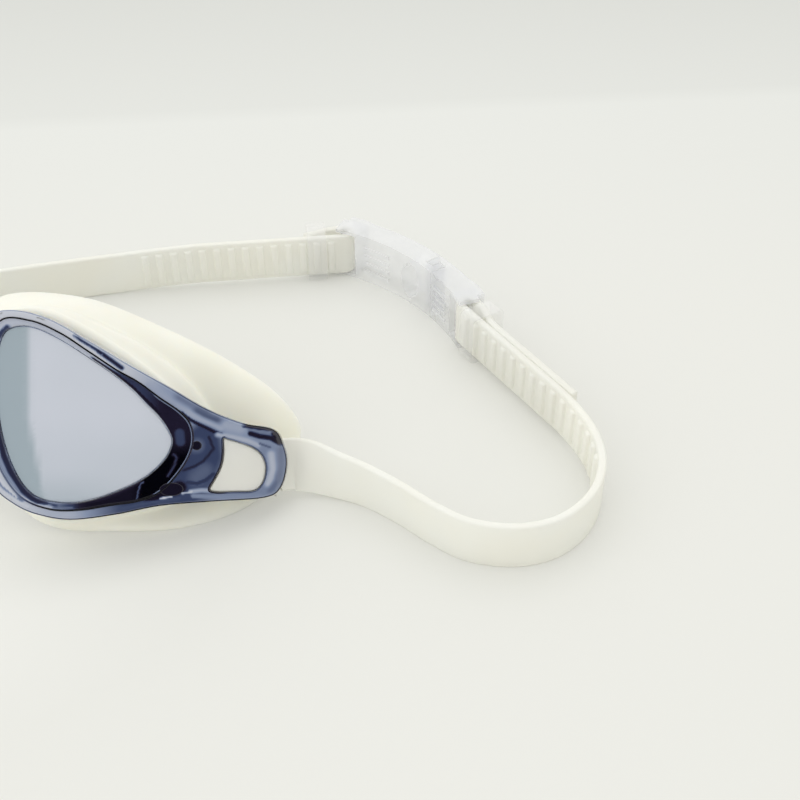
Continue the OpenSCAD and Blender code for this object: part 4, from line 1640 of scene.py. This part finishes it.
@dataclass
class Studio:
    """The pale table, the soft light and the camera.

    The reaches say, in metres, between which places the table's colours change, the painted pool
    of light under the front among them; slant leans the fold at its back. lift is the share of the
    table's own glow and level the light that falls on it. Each lamp has a name, a height and a
    bearing from +Y, a strength and a spread.
    """

    front: Front
    floor_size: float = 3.0
    floor_colour: Colour = (238, 238, 232)
    back_colour: Colour = (235, 236, 231)
    fold_colour: Colour = (230, 231, 226)
    far_colour: Colour = (221, 222, 217)
    side_colour: Colour = (150, 150, 145)
    glow_colour: Colour = (254, 254, 250)
    glow_middle: Point = (-25.0, -48.0)
    slant: float = -0.097
    back_reach: Point = (0.02, 0.16)
    fold_reach: Point = (0.157, 0.168)
    far_reach: Point = (0.17, 0.3)
    side_reach: Point = (0.08, 0.34)
    side_share: float = 0.06
    glow_reach: Point = (0.015, 0.065)
    glow_share: float = 0.32
    lift: float = 0.22
    level: float = 1.08
    sky_strength: float = 0.78
    lamps: Tuple[Tuple[str, float, float, float, float], ...] = (
        ("Overhead", 72.0, 15.0, 0.38, 60.0),
        ("Window", 40.0, 240.0, 0.45, 70.0),
        ("Left wall", 24.0, 280.0, 0.25, 80.0),
        ("Right wall", 24.0, 80.0, 0.12, 80.0),
        ("Back wall", 30.0, 5.0, 0.3, 80.0),
    )
    card_size: float = 1.1
    card_place: Tuple[float, float, float] = (450.0, -780.0, 750.0)
    card_tilt: float = 50.0
    camera_place: Tuple[float, float, float] = (105.0, -239.4, 201.6)
    camera_tilt: float = 49.9
    camera_lens: float = 52.4

    def build(self) -> None:
        """Builds the table, the lights, the dark card and the camera."""
        self.build_floor()
        self.build_light()
        self.build_card()
        self.build_camera()

    def shown(self, colour: Colour) -> Linear:
        """The table's own colour that looks like a given one under the light."""
        return dimmed(linear(*colour), 1 / self.level)

    def floor_tint(self, n: Nodes) -> Socket:
        """Mixes the table's colours: darker far off and towards the right, with a painted pool of
        light under the front.

        Args:
            n: The table's nodes.

        Returns:
            The colour.
        """
        split = n.add("ShaderNodeSeparateXYZ", {"Vector": n.place()})
        slant = n.math("MULTIPLY_ADD", split.outputs["X"], self.slant, split.outputs["Y"])
        near = n.ramp(slant, *self.back_reach, 0.0, 1.0)
        fold = n.ramp(slant, *self.fold_reach, 0.0, 1.0)
        beyond = n.ramp(slant, *self.far_reach, 0.0, 1.0)
        table = n.mix(near, self.shown(self.floor_colour), self.shown(self.back_colour))
        wall = n.mix(beyond, self.shown(self.fold_colour), self.shown(self.far_colour))
        aside = n.ramp(split.outputs["X"], *self.side_reach, 0.0, self.side_share)
        # A painted pool of light on the table under the front, which lightens the shadow there
        middle = [c * MM for c in self.glow_middle] + [0.0]
        away = n.add("ShaderNodeVectorMath", {0: n.place(), 1: middle}, operation="DISTANCE")
        glow = n.ramp(away.outputs["Value"], *self.glow_reach, self.glow_share, 0.0)
        table = n.mix(glow, table, linear(*self.glow_colour))
        return n.mix(aside, n.mix(fold, table, wall), linear(*self.side_colour))

    def build_floor(self) -> None:
        """Builds the flat table top, which glows a little where it is looked at."""
        n = Nodes(bpy.data.materials.new("Table"))
        colour = self.floor_tint(n)
        share = n.ramp(n.looked_at(), 0.0, 1.0, 0.0, self.lift)
        matt = n.add("ShaderNodeBsdfDiffuse", {"Color": colour})
        pale = n.add("ShaderNodeEmission", {"Color": colour, "Strength": self.level})
        bm = bmesh.new()
        bmesh.ops.create_grid(bm, x_segments=2, y_segments=2, size=self.floor_size)
        shader = n.blend(share, matt.outputs[0], pale.outputs[0])
        make_piece(bm, "table_top", n.finish(shader))

    def build_light(self) -> None:
        """Builds a soft pale sky, a broad lamp overhead, a window and the light of three walls."""
        world = bpy.data.worlds.new("Soft room")
        bpy.context.scene.world = world
        n = Nodes(world, "ShaderNodeOutputWorld")
        sky = {"Color": (1.0, 1.0, 0.99, 1.0), "Strength": self.sky_strength}
        light = n.add("ShaderNodeBackground", sky)
        far = {"Color": linear(*self.far_colour), "Strength": 1.0}
        backdrop = n.add("ShaderNodeBackground", far)
        n.finish(n.blend(n.looked_at(), light.outputs[0], backdrop.outputs[0]))
        for name, height, bearing, energy, spread in self.lamps:
            lamp = bpy.data.lights.new(name, "SUN")
            lamp.energy, lamp.angle = energy, math.radians(spread)
            obj = bpy.data.objects.new(name, lamp)
            obj.rotation_euler = (math.radians(90 - height), 0.0, math.radians(180 - bearing))
            bpy.context.scene.collection.objects.link(obj)

    def build_card(self) -> None:
        """Builds a dark card high on the camera's side, which only glossy surfaces see."""
        n = Nodes(bpy.data.materials.new("Dark card"))
        shader = n.add("ShaderNodeBsdfDiffuse", {"Color": (0.01, 0.01, 0.012, 1.0)})
        bm = bmesh.new()
        bmesh.ops.create_grid(bm, x_segments=2, y_segments=2, size=self.card_size)
        turn = Matrix.Rotation(math.radians(self.card_tilt), 4, "X")
        place = Matrix.Translation(self.front.table(*self.card_place))
        bmesh.ops.transform(bm, matrix=place @ turn, verts=bm.verts)
        card = make_piece(bm, "dark_card", n.finish(shader.outputs[0]))
        card.visible_camera = card.visible_diffuse = card.visible_shadow = False
        card.visible_transmission = card.visible_volume_scatter = False

    def build_camera(self) -> None:
        """Builds the camera at the photograph's viewing angle."""
        camera = bpy.data.cameras.new("Camera")
        camera.lens, camera.sensor_width, camera.clip_start = self.camera_lens, 36.0, 0.01
        obj = bpy.data.objects.new("Camera", camera)
        obj.location = self.front.table(*self.camera_place)
        obj.rotation_euler = (math.radians(self.camera_tilt), 0.0, 0.0)
        bpy.context.scene.collection.objects.link(obj)
        bpy.context.scene.camera = obj


def main() -> None:
    """Builds the goggles and the studio in order."""
    logging.basicConfig(level=logging.INFO, format="%(name)s: %(message)s")
    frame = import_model()
    bpy.context.scene.view_settings.view_transform = "Standard"
    swing = next(j for j in frame["joints"] if j["name"] == "strap_swing")["pos_m"]
    front = Front(Vector((-swing[0] / MM, HINGE_Y - swing[1] / MM)))
    finishes = {slot: finish.make() for slot, finish in FINISHES.items()}
    Studio(front).build()
    for side in Side:
        EyeUnit(side, front, frame, finishes).build()
    NoseBridge(frame, finishes).build()
    StrapSet(front, finishes[Slot.STRAP]).build()
    Clasp(front, frame, finishes).build()


if __name__ == "__main__":
    main()
